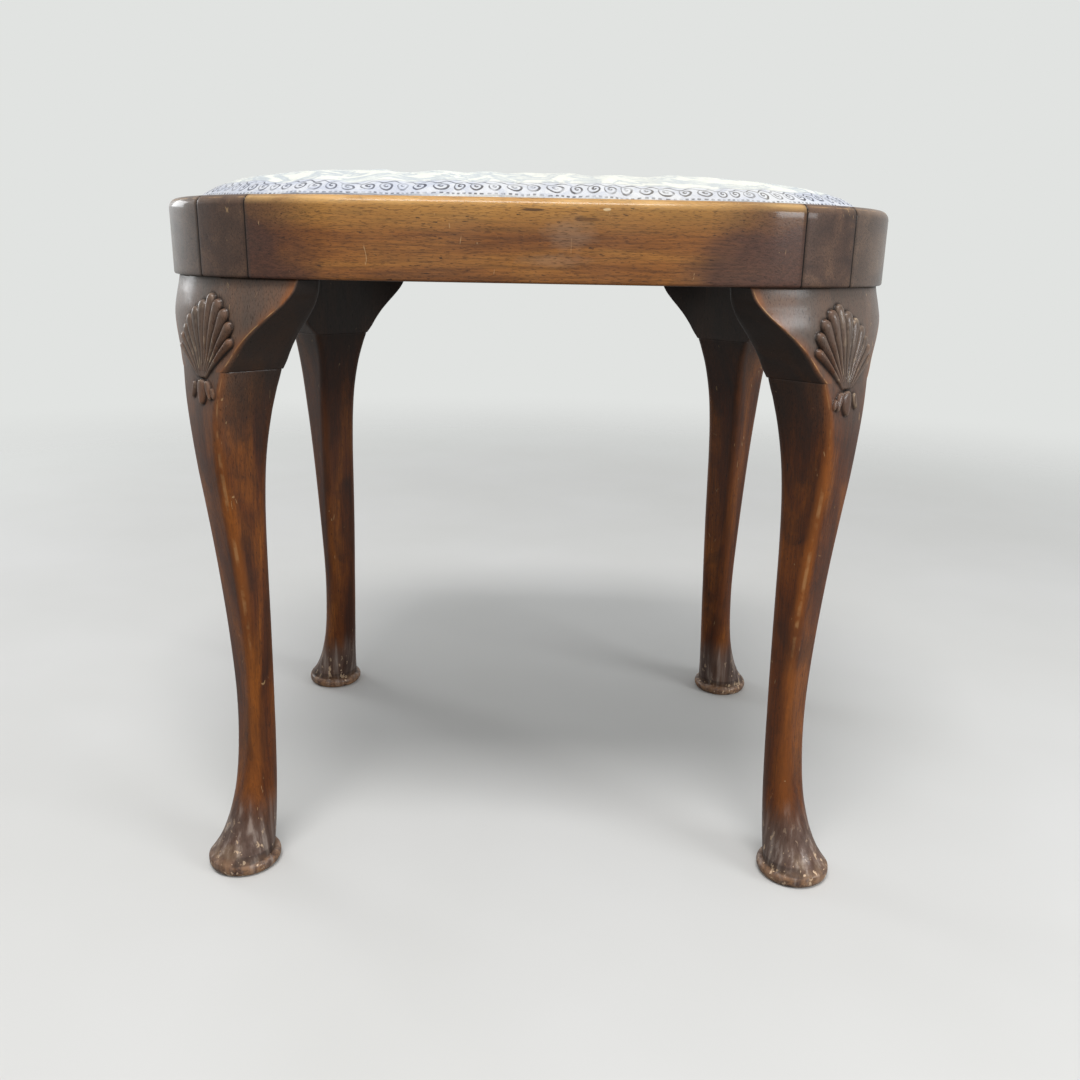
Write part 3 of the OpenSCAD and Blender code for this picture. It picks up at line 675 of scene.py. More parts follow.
def shell_height(across, z):
    """Height of the shell at places given by distance from the leg's middle and level."""
    across, rise = across - SHELL_AT[0], z - SHELL_AT[1]
    far = np.hypot(across, rise)
    turn = np.degrees(np.arctan2(across, rise)) * (1 + 0.16 * between(far, 38, 0))
    swell = between(far, 4, 38)
    swell = 1.5 + 1.9 * swell * swell * (3 - 2 * swell)
    height = np.zeros_like(far)
    for k, reach in enumerate(RIB_REACH):
        low, high = RIB_EDGES[k], RIB_EDGES[k + 1]
        side = (turn - (low + high) / 2) / ((high - low) / 2)
        blunt = 1.15 * reach * math.radians((high - low) / 2)
        beyond = np.maximum(far - (reach - blunt), 0) / blunt
        share = np.abs(side) ** 1.7 + beyond ** 2
        bed = GROOVE[k] + (GROOVE[k + 1] - GROOVE[k]) * (side + 1) / 2
        rib = bed + (1 - bed) * np.sqrt(np.clip(1 - share, 0, 1))
        rib *= np.where(beyond > 0, np.sqrt(between(share, 1, 0.9)), 1)
        height = np.maximum(height, swell * rib * (np.abs(side) <= 1))
    return height * np.sqrt(between(rise, 4.4, 5.6))


def bud_height(across, z):
    """Height of the petals of the bud under the shell."""
    height = np.zeros_like(across)
    for middle, top, length, half, lean, rise in PETALS:
        c, s = math.cos(math.radians(lean)), math.sin(math.radians(lean))
        down = ((top - z) * c + (across - middle) * s) / length
        sideways = (across - middle) * c - (top - z) * s
        wide = half * np.sqrt(np.clip(np.sin(np.clip(down, 0, 1) ** 0.72 * math.pi), 0, 1)) + 1e-6
        petal = np.sqrt(np.clip(1 - (sideways / wide) ** 2, 0, 1)) * ((down > 0) & (down < 1))
        height = np.maximum(height, rise * petal)
    return height


def softened(field, steps):
    """A field averaged with its neighbours a few times."""
    for _ in range(steps):
        wide = np.pad(field, 1, mode="edge")
        beside = wide[:-2, 1:-1] + wide[2:, 1:-1] + wide[1:-1, :-2] + wide[1:-1, 2:]
        field = (field * 2 + beside) / 6
    return field


print("ribs", len(RIB_REACH), "petals", len(PETALS))

# %% The carving's raster
RASTER_STEP, CARVED_LOW, CARVED_HIGH, CARVED_HALF = 0.25, 334, 420, 46
BROAD_STEPS, NEAR_STEPS, TOOL_STEPS, SUNK = 60, 18, 3, 0.45
raster_z = np.arange(CARVED_LOW, CARVED_HIGH, RASTER_STEP)
raster_v = np.arange(-CARVED_HALF, CARVED_HALF + 0.1, RASTER_STEP)
over, level_z = np.meshgrid(raster_v, raster_z)
sharp = np.maximum(shell_height(over, level_z), bud_height(over, level_z))
around, near = softened(sharp, BROAD_STEPS), softened(sharp, NEAR_STEPS)
carved_h = softened(sharp, TOOL_STEPS) - SUNK * np.clip(around / 0.9, 0, 1) * (sharp <= 0)
carved_h = softened(carved_h, 1)
# Grooves darken, for dirty hollows and painted shade.
groove_dirt_and_shade = np.clip((near - carved_h) / 0.6, 0, 1) ** 0.7
# Rib tops: pale, partly wear and partly a painted highlight.
rib_wear_and_highlight = np.clip((carved_h - near) / 0.55, 0, 1)


def read_raster(field, across, z):
    """A raster's value between its points."""
    column = np.clip((across - raster_v[0]) / RASTER_STEP, 0, len(raster_v) - 1.001)
    row = np.clip((z - raster_z[0]) / RASTER_STEP, 0, len(raster_z) - 1.001)
    c, r = column.astype(int), row.astype(int)
    fc, fr = column - c, row - r
    return ((field[r, c] * (1 - fc) + field[r, c + 1] * fc) * (1 - fr)
            + (field[r + 1, c] * (1 - fc) + field[r + 1, c + 1] * fc) * fr)


def carve(face):
    """Moves a face's grid of points out by the carving; returns it with its dark grooves, dirty and with
    painted shade, and its pale rib tops, worn and with a painted highlight.
    """
    v, z = face[:, :, 1], face[:, :, 2]
    radius = np.array([front_r(h) for h in z[:, 0]])
    slope = np.array([(front_r(h + 0.5) - front_r(h - 0.5)) for h in z[:, 0]])
    normal = np.stack([face[:, :, 0] / radius[:, None], v / radius[:, None],
                       np.repeat(-slope[:, None], v.shape[1], 1)], 2)
    normal /= np.linalg.norm(normal, axis=2, keepdims=True)
    inside = (z > raster_z[0]) & (z < raster_z[-1])
    height = read_raster(carved_h, v, z) * inside
    return (face + normal * height[:, :, None], read_raster(groove_dirt_and_shade, v, z) * inside,
            read_raster(rib_wear_and_highlight, v, z) * inside)


print("carving", round(float(carved_h.max()), 2), "mm high,", round(float(carved_h.min()), 2), "mm deep")

# %% [markdown]
# The leg's grid has a fine strip down its front, where the carving is, and two flanks. Below, the foot
# stands on a disc: the toe flares down into its rim, and the heel leaves a narrow ledge. Above the
# shoulder, the grid goes on as a square post between the ears.
# %% The leg's outline at a height
STRIP, FLANK, FLAT, BEND, SIDE = 95, 30, 20, 25, 18
POST_HALF, POST_DEPTH, HEEL = 21.0, 38.5, 8


def half_outline(z):
    """One half of the leg's outline at a height: points from the front's middle round to the back's."""
    front, back, half = front_r(z), FOOT_REACH + leg_size(z, *BACK_LINE), leg_size(z, *WIDTH_LINE) / 2
    arris = table(z / SHOULDER, ARRIS) * min(2 * half, front - back)
    quarter = np.radians(np.linspace(0, 90, BEND))
    xs = [np.full(FLAT, front), front - arris + arris * np.cos(quarter),
          np.linspace(front - arris, back + arris, SIDE), back + arris - arris * np.sin(quarter),
          np.full(FLAT, back)]
    ys = [np.linspace(0, half - arris, FLAT), half - arris + arris * np.sin(quarter), np.full(SIDE, half),
          half - arris + arris * np.cos(quarter), np.linspace(half - arris, 0, FLAT)]
    arris_wear = np.sin(2 * quarter)
    worn = [np.zeros(FLAT), arris_wear, np.zeros(SIDE), 0.4 * arris_wear, np.zeros(FLAT)]
    x, y, worn = map(np.concatenate, (xs, ys, worn))
    crowned = min(1, z / SHOULDER / ANKLE)
    x = x - (x - back) / (front - back) * crowned * (front - np.sqrt(front ** 2 - y ** 2))
    return x, y, worn, half, arris


def closed_row(strip_x, strip_y, side_x, side_y):
    """A row's points: the strip across the front, then one flank to the back and the other one home."""
    return np.column_stack([np.concatenate([strip_x, side_x, side_x[-2::-1]]),
                            np.concatenate([strip_y, side_y, -side_y[-2::-1]])])


def leg_row(z):
    """One closed row of the leg below the shoulder, with how worn each point is."""
    x, y, worn, half, arris = half_outline(z)
    wide = half - 0.35 * arris
    strip = np.linspace(-wide, wide, STRIP)
    front = slice(0, int(np.argmax(y)) + 1)
    strip_x = np.interp(np.abs(strip), y[front], x[front])
    strip_worn = np.interp(np.abs(strip), y[front], worn[front])
    along = np.concatenate([[0], np.cumsum(np.hypot(np.diff(x), np.diff(y)))])
    places = np.linspace(np.interp(wide, y[front], along[front]), along[-1], FLANK + 1)[1:]
    side_x, side_y, side_worn = (np.interp(places, along, part) for part in (x, y, worn))
    points = closed_row(strip_x, strip, side_x, side_y)
    return points, np.concatenate([strip_worn, side_worn, side_worn[-2::-1]])


def post_row(z):
    """One closed row of the square post between the ears."""
    strip, back = np.linspace(-POST_HALF, POST_HALF, STRIP), FOOT_REACH - POST_DEPTH
    front = np.sqrt(front_r(z) ** 2 - strip ** 2)
    side_x = np.concatenate([np.linspace(front[-1], back, FLANK - HEEL + 1)[1:], np.full(HEEL, back)])
    side_y = np.concatenate([np.full(FLANK - HEEL, POST_HALF), np.linspace(POST_HALF, 0, HEEL + 1)[1:]])
    return closed_row(front, strip, side_x, side_y)


print("columns in a row", len(leg_row(200)[0]), len(post_row(380)))

# %% One leg's grid
DISC_ROWS = ((0, 0.865), (0.7, 0.915), (2, 0.96), (3.8, 0.99), (5.6, 1), (7, 0.99), (8, 0.967), (8.7, 0.935))
SHANK_LOW, SHANK_ROWS, CROWDED_LOW, CARVED_FROM, CARVED_STEP = PAD_H + 0.3, 150, 1.25, 331, 0.6
POST_ROWS, LEDGE_ROWS, RIM_SHARE, SHOULDER_SHY, UNDER_RAIL = 98, 6, 0.995, 0.988, 417.5


def under_rail_shade(z):
    """Painted shade that thickens over the last 4 mm below the rails."""
    return 0.75 * between(z, UNDER_RAIL, UNDER_RAIL + 4) ** 2


def leg_rows():
    """The leg's rows of points, from the floor to the top of its post, with how worn each point is."""
    rows, wear_and_highlight = [], []
    centre = np.array([FOOT_REACH, 0])
    way = leg_row(SHANK_LOW)[0] - centre
    way /= np.linalg.norm(way, axis=1)[:, None]
    toe = (way[:, 0] + 1) / 2
    for z, grow in DISC_ROWS:
        share = grow + (RIM_SHARE - grow) * toe ** 3 * (z > 5)
        rows.append((centre + way * (FOOT_R * share)[:, None], z))
        wear_and_highlight.append(0.3 + 0.6 * toe)
    low = SHANK_LOW + (CARVED_FROM - 1 - PAD_H) * np.linspace(0, 1, SHANK_ROWS) ** CROWDED_LOW
    for z in [*low, *np.arange(CARVED_FROM + 0.5, SHOULDER - CARVED_STEP / 2, CARVED_STEP), SHOULDER]:
        points, worn = leg_row(z)
        if z == SHOULDER:
            middle = np.array([FOOT_REACH - 14, 0])
            points[STRIP:] = (points[STRIP:] - middle) * SHOULDER_SHY + middle
        rows.append((points, z))
        toe_wear = 1.1 * between(z, 40, 12) * np.clip(way[:, 0], 0, 1) ** 2
        wear_and_highlight.append(worn * (0.9 if z > 190 else 0.45 + 0.45 * z / 190) + toe_wear)
    for z in np.linspace(SHOULDER, SHOULDER + EAR_H, POST_ROWS):
        rows.append((post_row(z), z))
        wear_and_highlight.append(np.zeros(len(way)))
    grid = np.array([np.column_stack([points, np.full(len(points), z)]) for points, z in rows])
    return grid, np.clip(np.array(wear_and_highlight), 0, 1)


def leg_grid():
    """The leg's rows of points with the carving, and for each point how worn it is, how dark it is from dirty
    joints and painted shade, and how pale its carved tops are, partly a painted highlight.
    """
    grid, wear_and_highlight = leg_rows()
    x, z = grid[:, :, 0], grid[:, :, 2]
    # Painted shade under the rails and on the inner side of the upper leg; darker on the flanks and back just
    # above the disc; the shoulder's joint line dark.
    dirt_and_shade = under_rail_shade(z)
    dirt_and_shade[len(DISC_ROWS):len(DISC_ROWS) + LEDGE_ROWS, STRIP:] = 0.4
    dirt_and_shade[np.abs(z[:, 0] - SHOULDER) < 0.2, STRIP:] = 0.7
    inner_shade = between(x, FOOT_REACH + 4, FOOT_REACH - 22) * between(z, 250, 370)
    dirt_and_shade = np.maximum(dirt_and_shade, 0.75 * inner_shade)
    carved = slice(int(np.argmax(z[:, 0] > CARVED_FROM)), None), slice(0, STRIP)
    grid[carved], face_dirt_and_shade, face_wear_and_highlight = carve(grid[carved])
    dirt_and_shade[carved] = np.maximum(dirt_and_shade[carved], face_dirt_and_shade)
    wear_and_highlight[carved] = np.clip(wear_and_highlight[carved] + 0.15 * face_wear_and_highlight, 0, 1)
    pale = np.zeros(wear_and_highlight.shape)
    pale[carved] = face_wear_and_highlight
    return grid, {"wear_and_highlight": wear_and_highlight, "dirt_and_shade": dirt_and_shade, "pale": pale}


grid, leg_marks = leg_grid()
print("leg rows and columns", grid.shape[:2], "top row", round(float(grid[-1, 0, 2]), 1))

# %% The four legs
def placed(points, side, end):
    """Points of a leg's own frame, in mm, placed at one corner of the stool; legs across are mirrored."""
    points = np.asarray(points).reshape(-1, 3) * [1, side * end, 1]
    turn = math.atan2(end, side)
    c, s = math.cos(turn), math.sin(turn)
    x, y = points[:, 0] * c - points[:, 1] * s, points[:, 0] * s + points[:, 1] * c
    return np.column_stack([x * MM + side * CORNER[0], y * MM + end * CORNER[1], points[:, 2] * MM])


def facing(faces, side, end):
    """Faces turned over where the leg is mirrored."""
    return faces if side * end > 0 else [face[::-1] for face in faces]


CORNERS = {"front_left": (-1, -1), "front_right": (1, -1), "rear_left": (-1, 1), "rear_right": (1, 1)}
leg_faces = tube_faces(*grid.shape[:2])
for name, (side, end) in CORNERS.items():
    leg = mesh_object(name + "_carved_leg", placed(grid, side, end), facing(leg_faces, side, end), smooth=45)
    for mark, values in leg_marks.items():
        store(leg, mark, values)
    leg.data.materials.append(leg_walnut)
    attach(leg, "frame")
    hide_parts(name + "_leg")
print("legs", list(CORNERS), "faces in a leg", len(leg_faces))

# %% [markdown]
# Two ears are glued to each knee on a level shoulder. An ear follows the knee's face, turned about the
# corner's centre, and sweeps out in a cyma; its front arris is rounded over and has worn bright.
# %% One ear
FACE_COLUMNS, ROUND_COLUMNS, END_COLUMNS, BACK_COLUMNS, POST_COLUMNS = 61, 11, 7, 10, 5
ROUNDED = FACE_COLUMNS + ROUND_COLUMNS
EAR_REACH, EAR_SPREAD, GLUED_AT, EAR_BACK = 28, 48, POST_HALF - 0.005, FOOT_REACH - POST_DEPTH
ARRIS_LOW, ARRIS_LESS, JOINT_SHY = 3.9, 1.8, 0.35
face_shares = np.concatenate([np.linspace(0, 0.36, 36), np.linspace(0.36, 1, 26)[1:]])
ear_rises = [0.0, 0.4] + list(np.linspace(1.0, EAR_H - 0.8, 96)) + [EAR_H - 0.15]


def ear_row(rise):
    """A level slice of an ear, as (points, how worn, how dark from painted shade and dirty wood): its face,
    arris, end, back and glued side.
    """
    rounding = ARRIS_LOW - ARRIS_LESS * rise / EAR_H
    shy = JOINT_SHY if rise in (ear_rises[0], ear_rises[-1]) else 0.0
    radius = front_r(SHOULDER + rise) - shy * (rise > 1)
    reach = EAR_REACH + EAR_SPREAD * table(rise / EAR_H, EAR_SWEEP) - shy
    first, last = math.asin(GLUED_AT / radius), math.asin((reach - rounding) / (radius - rounding))
    turns = first + (last - first) * face_shares
    middle = ((radius - rounding) * math.cos(last), reach - rounding)
    bend = np.linspace(last, math.pi / 2, ROUND_COLUMNS + 1)[1:]
    face_x = radius * np.cos(turns)
    x = [face_x, middle[0] + rounding * np.cos(bend),
         np.linspace(middle[0], EAR_BACK + 1, END_COLUMNS + 1)[1:], np.full(BACK_COLUMNS, EAR_BACK),
         np.linspace(EAR_BACK, face_x[0], POST_COLUMNS + 2)[1:-1]]
    y = [radius * np.sin(turns), middle[1] + rounding * np.sin(bend), np.full(END_COLUMNS, reach),
         np.linspace(reach - 1, GLUED_AT, BACK_COLUMNS), np.full(POST_COLUMNS, GLUED_AT)]
    x, y = np.concatenate(x), np.concatenate(y)
    worn, shade_and_grime = np.zeros(len(x)), np.zeros(len(x))
    worn[:FACE_COLUMNS] = 0.55 * between((last - turns) * radius, 11, 0) ** 1.5
    worn[FACE_COLUMNS - 3:FACE_COLUMNS + 3] = [0.6, 0.72, 0.9, 1.0, 0.95, 0.7]
    worn[FACE_COLUMNS + 3:ROUNDED] = np.linspace(0.5, 0, ROUNDED - FACE_COLUMNS - 3)
    # Painted shade under the rails on the face; the ends and backs darker towards the top, painted shade over
    # darkened wood; the shoulder joint below dark.
    shade_and_grime[:ROUNDED] = under_rail_shade(SHOULDER + rise)
    shade_and_grime[ROUNDED:] = 0.66 + 0.26 * (rise / EAR_H)
    shade_and_grime[FACE_COLUMNS + 3:ROUNDED] = np.linspace(0.1, 1, ROUNDED - FACE_COLUMNS - 3) * shade_and_grime[ROUNDED]
    if rise == ear_rises[0]:
        shade_and_grime[FACE_COLUMNS - 1:] = 0.8
    return np.column_stack([x, y, np.full(len(x), SHOULDER + rise)]), worn, shade_and_grime


def ear_grid(way):
    """An ear's rows of points on one side of the leg, with the carving, and how worn and how dark from
    painted shade and dirty wood each point is.
    """
    rows, wear_and_highlight, dirt_and_shade = map(np.array, zip(*(ear_row(rise) for rise in ear_rises)))
    rows[:, :, 1] *= way
    face = slice(None), slice(0, FACE_COLUMNS)
    rows[face], face_dirt_and_shade, face_wear_and_highlight = carve(rows[face])
    dirt_and_shade[face] = np.maximum(dirt_and_shade[face], face_dirt_and_shade)
    wear_and_highlight[face] = np.clip(wear_and_highlight[face] + 0.5 * face_wear_and_highlight, 0, 1)
    return rows, wear_and_highlight, dirt_and_shade


right_ear, left_ear = ear_grid(1), ear_grid(-1)
print("slices and columns of an ear", right_ear[1].shape)

# %% The ears in pairs
pair_grid, pair_wear, pair_dirt_and_shade = (np.concatenate(both) for both in zip(right_ear, left_ear))
ear_faces = tube_faces(*right_ear[0].shape[:2])
ear_points = right_ear[1].size
ear_faces += [tuple(ear_points + i for i in face[::-1]) for face in ear_faces]
for name, (side, end) in CORNERS.items():
    pair = mesh_object(name + "_ear_pair", placed(pair_grid, side, end), facing(ear_faces, side, end),
                       smooth=45)
    store(pair, "wear_and_highlight", pair_wear)
    store(pair, "dirt_and_shade", pair_dirt_and_shade)
    pair.data.materials.append(leg_walnut)
    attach(pair, "frame")
    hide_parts(name + "_ears")
print("points in an ear", ear_points)

# %% [markdown]
# The seat is a loose frame of beech with webbing, hessian, hair and wadding under a printed cotton.
# The cover is drawn over the edge and tacked underneath. Its skin is one grid of loops round the
# outline, so the border's print can follow the edge.
# %% Loops round the seat
AROUND, COVER_INSET, EDGE_Z = 420, 0.018, 0.4662
CROWN_H, CROWN_LEAN = 0.0258, 0.006
turns = outline_turns(0, 360, 0.001)[0]
turns = np.interp(np.linspace(0, 1, AROUND + 1)[:-1], np.linspace(0, 1, len(turns)), turns)
edge = np.array([outline_point(t, COVER_INSET) for t in turns])


def loop(inset, z, share=1.0):
    """A loop of points that far inside the outline, drawn in towards the middle by a share."""
    flat = np.array([outline_point(t, inset) for t in turns]) * share
    return np.column_stack([flat, np.full(AROUND, z)])


def top_loop(inset, share=1.0):
    """A loop on the padded top, which rises from its edge, a little more to the left."""
    points = loop(inset, 0, share)
    out = np.clip(np.linalg.norm(points[:, :2], axis=1) / np.linalg.norm(edge, axis=1), 0, 1)
    points[:, 2] = EDGE_Z + np.sqrt(1 - out ** 4) * (CROWN_H - CROWN_LEAN * points[:, 0])
    return points


print("edge of the seat", [round(float(side), 3) for side in np.ptp(edge, axis=0)])

# %% Seat cover
PAD_INSET, PAD_Z, PAD_SHARES = 0.0225, 0.46795, (0.03, 0.35, 0.7, 1.0)
HEM_AND_WALL = (  # inset and z of the loops down inside the seat, round the hem and up the wall
    (0.0192, 0.4672), (0.0191, 0.4655), (0.0191, 0.4575), (0.0191, 0.4494), (0.0200, 0.44935),
    (0.0440, 0.44935), (0.0443, 0.4490), (0.0440, 0.44850), (0.0300, 0.44845), (0.0200, 0.44845),
    (0.0186, 0.44865), (0.0182, 0.4492), (0.0180, 0.4500), (0.0180, 0.4535), (0.0180, 0.4585),
    (0.0180, 0.4625))
TOP_INSETS = (0, 0.0004, 0.001, 0.002, 0.0033, 0.005, 0.007, 0.009, 0.011, 0.013, 0.015, 0.017, 0.0195,
              0.0225, 0.026, 0.030, 0.035, 0.040)
TOP_START = len(PAD_SHARES) + len(HEM_AND_WALL)
WALL_START = TOP_START - 5
HIDDEN_REACH, HEM_REACH, MIDDLE_REACH, SCROLL_PITCH = -0.06, -0.02, 0.16, 0.0105


def cover_loops():
    """The cover's loops from inside the pad to its middle, with how far in from the edge each one is."""
    made = [(loop(PAD_INSET, PAD_Z, share), HIDDEN_REACH) for share in PAD_SHARES]
    made += [(loop(inset, z), z - EDGE_Z if inset < 0.019 else HEM_REACH) for inset, z in HEM_AND_WALL]
    made += [(top_loop(COVER_INSET + inward), inward) for inward in TOP_INSETS]
    last = TOP_INSETS[-1]
    made += [(top_loop(COVER_INSET + last, share), last + (1 - share) * MIDDLE_REACH)
             for share in np.linspace(1, 0.02, 34)[1:]]
    points, reach = zip(*made)
    return np.array(points), np.array(reach)


cover_points, reach = cover_loops()
scrolls = round(float(np.sum(np.linalg.norm(np.diff(edge, axis=0, append=edge[:1]), axis=1))) / SCROLL_PITCH)
cover_faces = tube_faces(len(cover_points), AROUND)
cover = mesh_object("printed_seat_cover", cover_points.reshape(-1, 3), cover_faces, smooth=50)
layer = cover.data.uv_layers.new(name="border")
for polygon in cover.data.polygons[:-2]:
    row, column = divmod(polygon.index, AROUND)
    for index, (dr, dc) in zip(polygon.loop_indices, ((0, 0), (0, 1), (1, 1), (1, 0))):
        layer.data[index].uv = ((column + dc) / AROUND * scrolls, reach[row + dr] / MM)
for index in cover.data.polygons[-1].loop_indices:
    layer.data[index].uv = (0, reach[-1] / MM)
print("cover points", len(cover_points) * AROUND, "scrolls", scrolls)

# %% [markdown]
# Real padding isn't even. A closed copy of the top, a little low, is remeshed at 5 mm, tacked round its
# edge at uneven steps and blown up as cloth for 20 frames. How far it then departs from an even swell
# moves the cover's own points, so the border's pattern keeps its place.
# %% Simulated padding
VOXEL, LOWERED, PRESSURE, FRAMES = 0.005, 0.25, 4, 20
HELD_SHARE, HELD_BELOW, TACKED, BETWEEN_TACKS = 0.955, 0.4640, 1.0, 0.25
MOST_UNEVEN, NEIGHBOURS = 0.0012, 5


def points_of(mesh):
    """The places of a mesh's vertices."""
    places = np.empty(len(mesh.vertices) * 3)
    mesh.vertices.foreach_get("co", places)
    return places.reshape(-1, 3)


def held_share(places):
    """How firmly each point of the trial pad is held: by tacks round its edge, and by its wall."""
    angle = np.arctan2(places[:, 1], places[:, 0])
    bearing = np.arctan2(edge[:, 1], edge[:, 0])
    order = np.argsort(bearing)
    limit = np.interp(angle, bearing[order], np.linalg.norm(edge[order], axis=1), period=2 * math.pi)
    at_tack = np.sin(angle * 47 + 1.7 * np.sin(angle * 5)) > 0.1
    rim = np.linalg.norm(places[:, :2], axis=1) / limit > HELD_SHARE
    held = np.where(rim, np.where(at_tack, TACKED, BETWEEN_TACKS), 0.0)
    held[places[:, 2] < HELD_BELOW] = TACKED
    return held


def blown_up(body):
    """A closed body of loops blown up as cloth: the places of its points before and after."""
    pad = mesh_object("pad_trial", body.reshape(-1, 3), tube_faces(*body.shape[:2]), smooth=50)
    remesh = pad.modifiers.new("remesh", "REMESH")
    remesh.mode = "VOXEL"
    remesh.voxel_size = VOXEL
    pad.data = bpy.data.meshes.new_from_object(pad.evaluated_get(bpy.context.evaluated_depsgraph_get()))
    pad.modifiers.clear()
    before = points_of(pad.data)
    held = held_share(before)
    group = pad.vertex_groups.new(name="tacks")
    for weight in (BETWEEN_TACKS, TACKED):
        group.add([int(k) for k in np.flatnonzero(held == weight)], weight, "REPLACE")
    settings = pad.modifiers.new("cloth", "CLOTH").settings
    settings.vertex_group_mass = "tacks"
    settings.use_pressure = True
    settings.uniform_pressure_force = PRESSURE
    settings.effector_weights.gravity = 0
    settings.shrink_min = -0.02
    for frame_number in range(1, FRAMES + 1):
        bpy.context.scene.frame_set(frame_number)
    after = points_of(pad.evaluated_get(bpy.context.evaluated_depsgraph_get()).data)
    bpy.data.objects.remove(pad)
    bpy.context.scene.frame_set(1)
    return before, after


def spread_out(field, step):
    """A field on the loops averaged with the points some steps away on the same loop."""
    return (np.roll(field, step, 1) + np.roll(field, -step, 1) + 2 * field) / 4


print("loops blown up", len(cover_points) - WALL_START)

# %% Unevenness carried over to the cover
low_cover = cover_points.copy()
low_cover[:, :, 2] -= LOWERED * np.clip(low_cover[:, :, 2] - EDGE_Z, 0, 1)
before, after = blown_up(low_cover[WALL_START:])
lift = after[:, 2] - before[:, 2]
finder = KDTree(len(before))
for index, point in enumerate(before):
    finder.insert(point, index)
finder.balance()
rise = np.zeros((len(cover_points) - TOP_START, AROUND))
for r, c in np.ndindex(rise.shape):
    found = finder.find_n(low_cover[TOP_START + r, c], NEIGHBOURS)
    weights = np.array([1 / (distance + MM) for _, _, distance in found])
    rise[r, c] = np.sum(lift[[index for _, index, _ in found]] * weights) / np.sum(weights)
for _ in range(3):
    rise = spread_out(rise, 1)
even = rise
for step in (1, 2, 4, 8, 16):
    even = spread_out(even, step)
inward = reach[TOP_START:, None]
uneven = np.clip(rise - even, -MOST_UNEVEN, MOST_UNEVEN) * between(inward, 0.0005, 0.0065)
uneven *= between(inward, 0.2, 0.14)
cover_points[TOP_START:, :, 2] += uneven
cover.data.vertices.foreach_set("co", cover_points.reshape(-1))
cover.data.update()
print("padding", len(before), "points, mean rise", round(float(rise.mean()) / MM, 1), "mm, uneven by",
      round(float(uneven.min()) / MM, 1), "to", round(float(uneven.max()) / MM, 1), "mm")

# %% [markdown]
# The cover is an ivory cotton with a soft foliage print in pale grey-blue. A border about 17 mm wide
# runs round the edge: a pale bluish ground with a navy running scroll, a thin line and a row of dots.
# It is drawn in the border UV map, which counts scrolls along the edge and millimetres in from it.
# %% The border's ink
SCROLL_MM, SCROLL_AT, SCROLL_R, COIL_GAP = SCROLL_PITCH / MM, 8.6, 4.1, 2.9
WAVE_AT, WAVE_SWING, THIN_LINE, DOT_ROW, DOTS = 13.2, 1.4, (16.3, 16.9), (2.2, 3.0), 3
EDGE_SOFT = 0.35


def band(tree, inward, low, high, soft):
    """1 between two distances from the edge, in mm."""
    past_low = fade(tree, inward, low - soft, low + soft)
    return times(tree, past_low, fade(tree, inward, high + soft, high - soft))


def off(tree, value, middle):
    """How far a value is from a middle one."""
    return maths(tree, "ABSOLUTE", maths(tree, "SUBTRACT", value, middle))


def stroke(tree, distance, half, soft):
    """1 where a distance is below a half width."""
    return fade(tree, distance, half + soft, half)


def swayed(tree, value, spot, lumps, detail, sway):
    """A value that wanders a little from place to place, as a hand-drawn line does."""
    drift = maths(tree, "SUBTRACT", noise(tree, spot, lumps, detail), 0.5)
    return maths(tree, "MULTIPLY_ADD", drift, sway, value)


def border_ink(tree, along, inward, spot):
    """How much ink there is: a coil to each scroll, a waved line, a thin line and dots, worn in places."""
    x = times(tree, maths(tree, "SUBTRACT", maths(tree, "FRACT", along), 0.5), SCROLL_MM)
    y = maths(tree, "SUBTRACT", inward, SCROLL_AT)
    radius = span(tree, x, y)
    turn = maths(tree, "DIVIDE", maths(tree, "ARCTAN2", y, x), 2 * math.pi)
    coil = maths(tree, "FRACT", maths(tree, "SUBTRACT", maths(tree, "DIVIDE", radius, COIL_GAP), turn))
    coil = times(tree, off(tree, coil, 0.5), COIL_GAP)
    spiral = times(tree, stroke(tree, coil, 0.5, EDGE_SOFT), stroke(tree, radius, SCROLL_R, 0.5))
    wave = times(tree, maths(tree, "SINE", times(tree, along, 2 * math.pi)), WAVE_SWING)
    waved = stroke(tree, off(tree, maths(tree, "SUBTRACT", inward, WAVE_AT), wave), 0.45, EDGE_SOFT)
    thin = times(tree, band(tree, inward, *THIN_LINE, 0.3), 0.7)
    dots = stroke(tree, off(tree, maths(tree, "FRACT", times(tree, along, DOTS)), 0.5), 0.22, 0.1)
    dots = times(tree, dots, band(tree, inward, *DOT_ROW, 0.3))
    ink = maths(tree, "MAXIMUM", maths(tree, "MAXIMUM", spiral, waved), maths(tree, "MAXIMUM", thin, dots))
    faded = patches(tree, spot, 130, 4, [(0.34, 0.3), (0.54, 1.0)])
    bold = patches(tree, spot, 9, 2, [(0.4, 0.8), (0.52, 1.0)])
    return times(tree, ink, times(tree, faded, bold))


print("a scroll each", round(SCROLL_MM, 1), "mm")

# %% Printed cotton
BORDER, EDGE_SHADE, THREADS = (1.2, 16.6), (1.1, 1.9), 2600


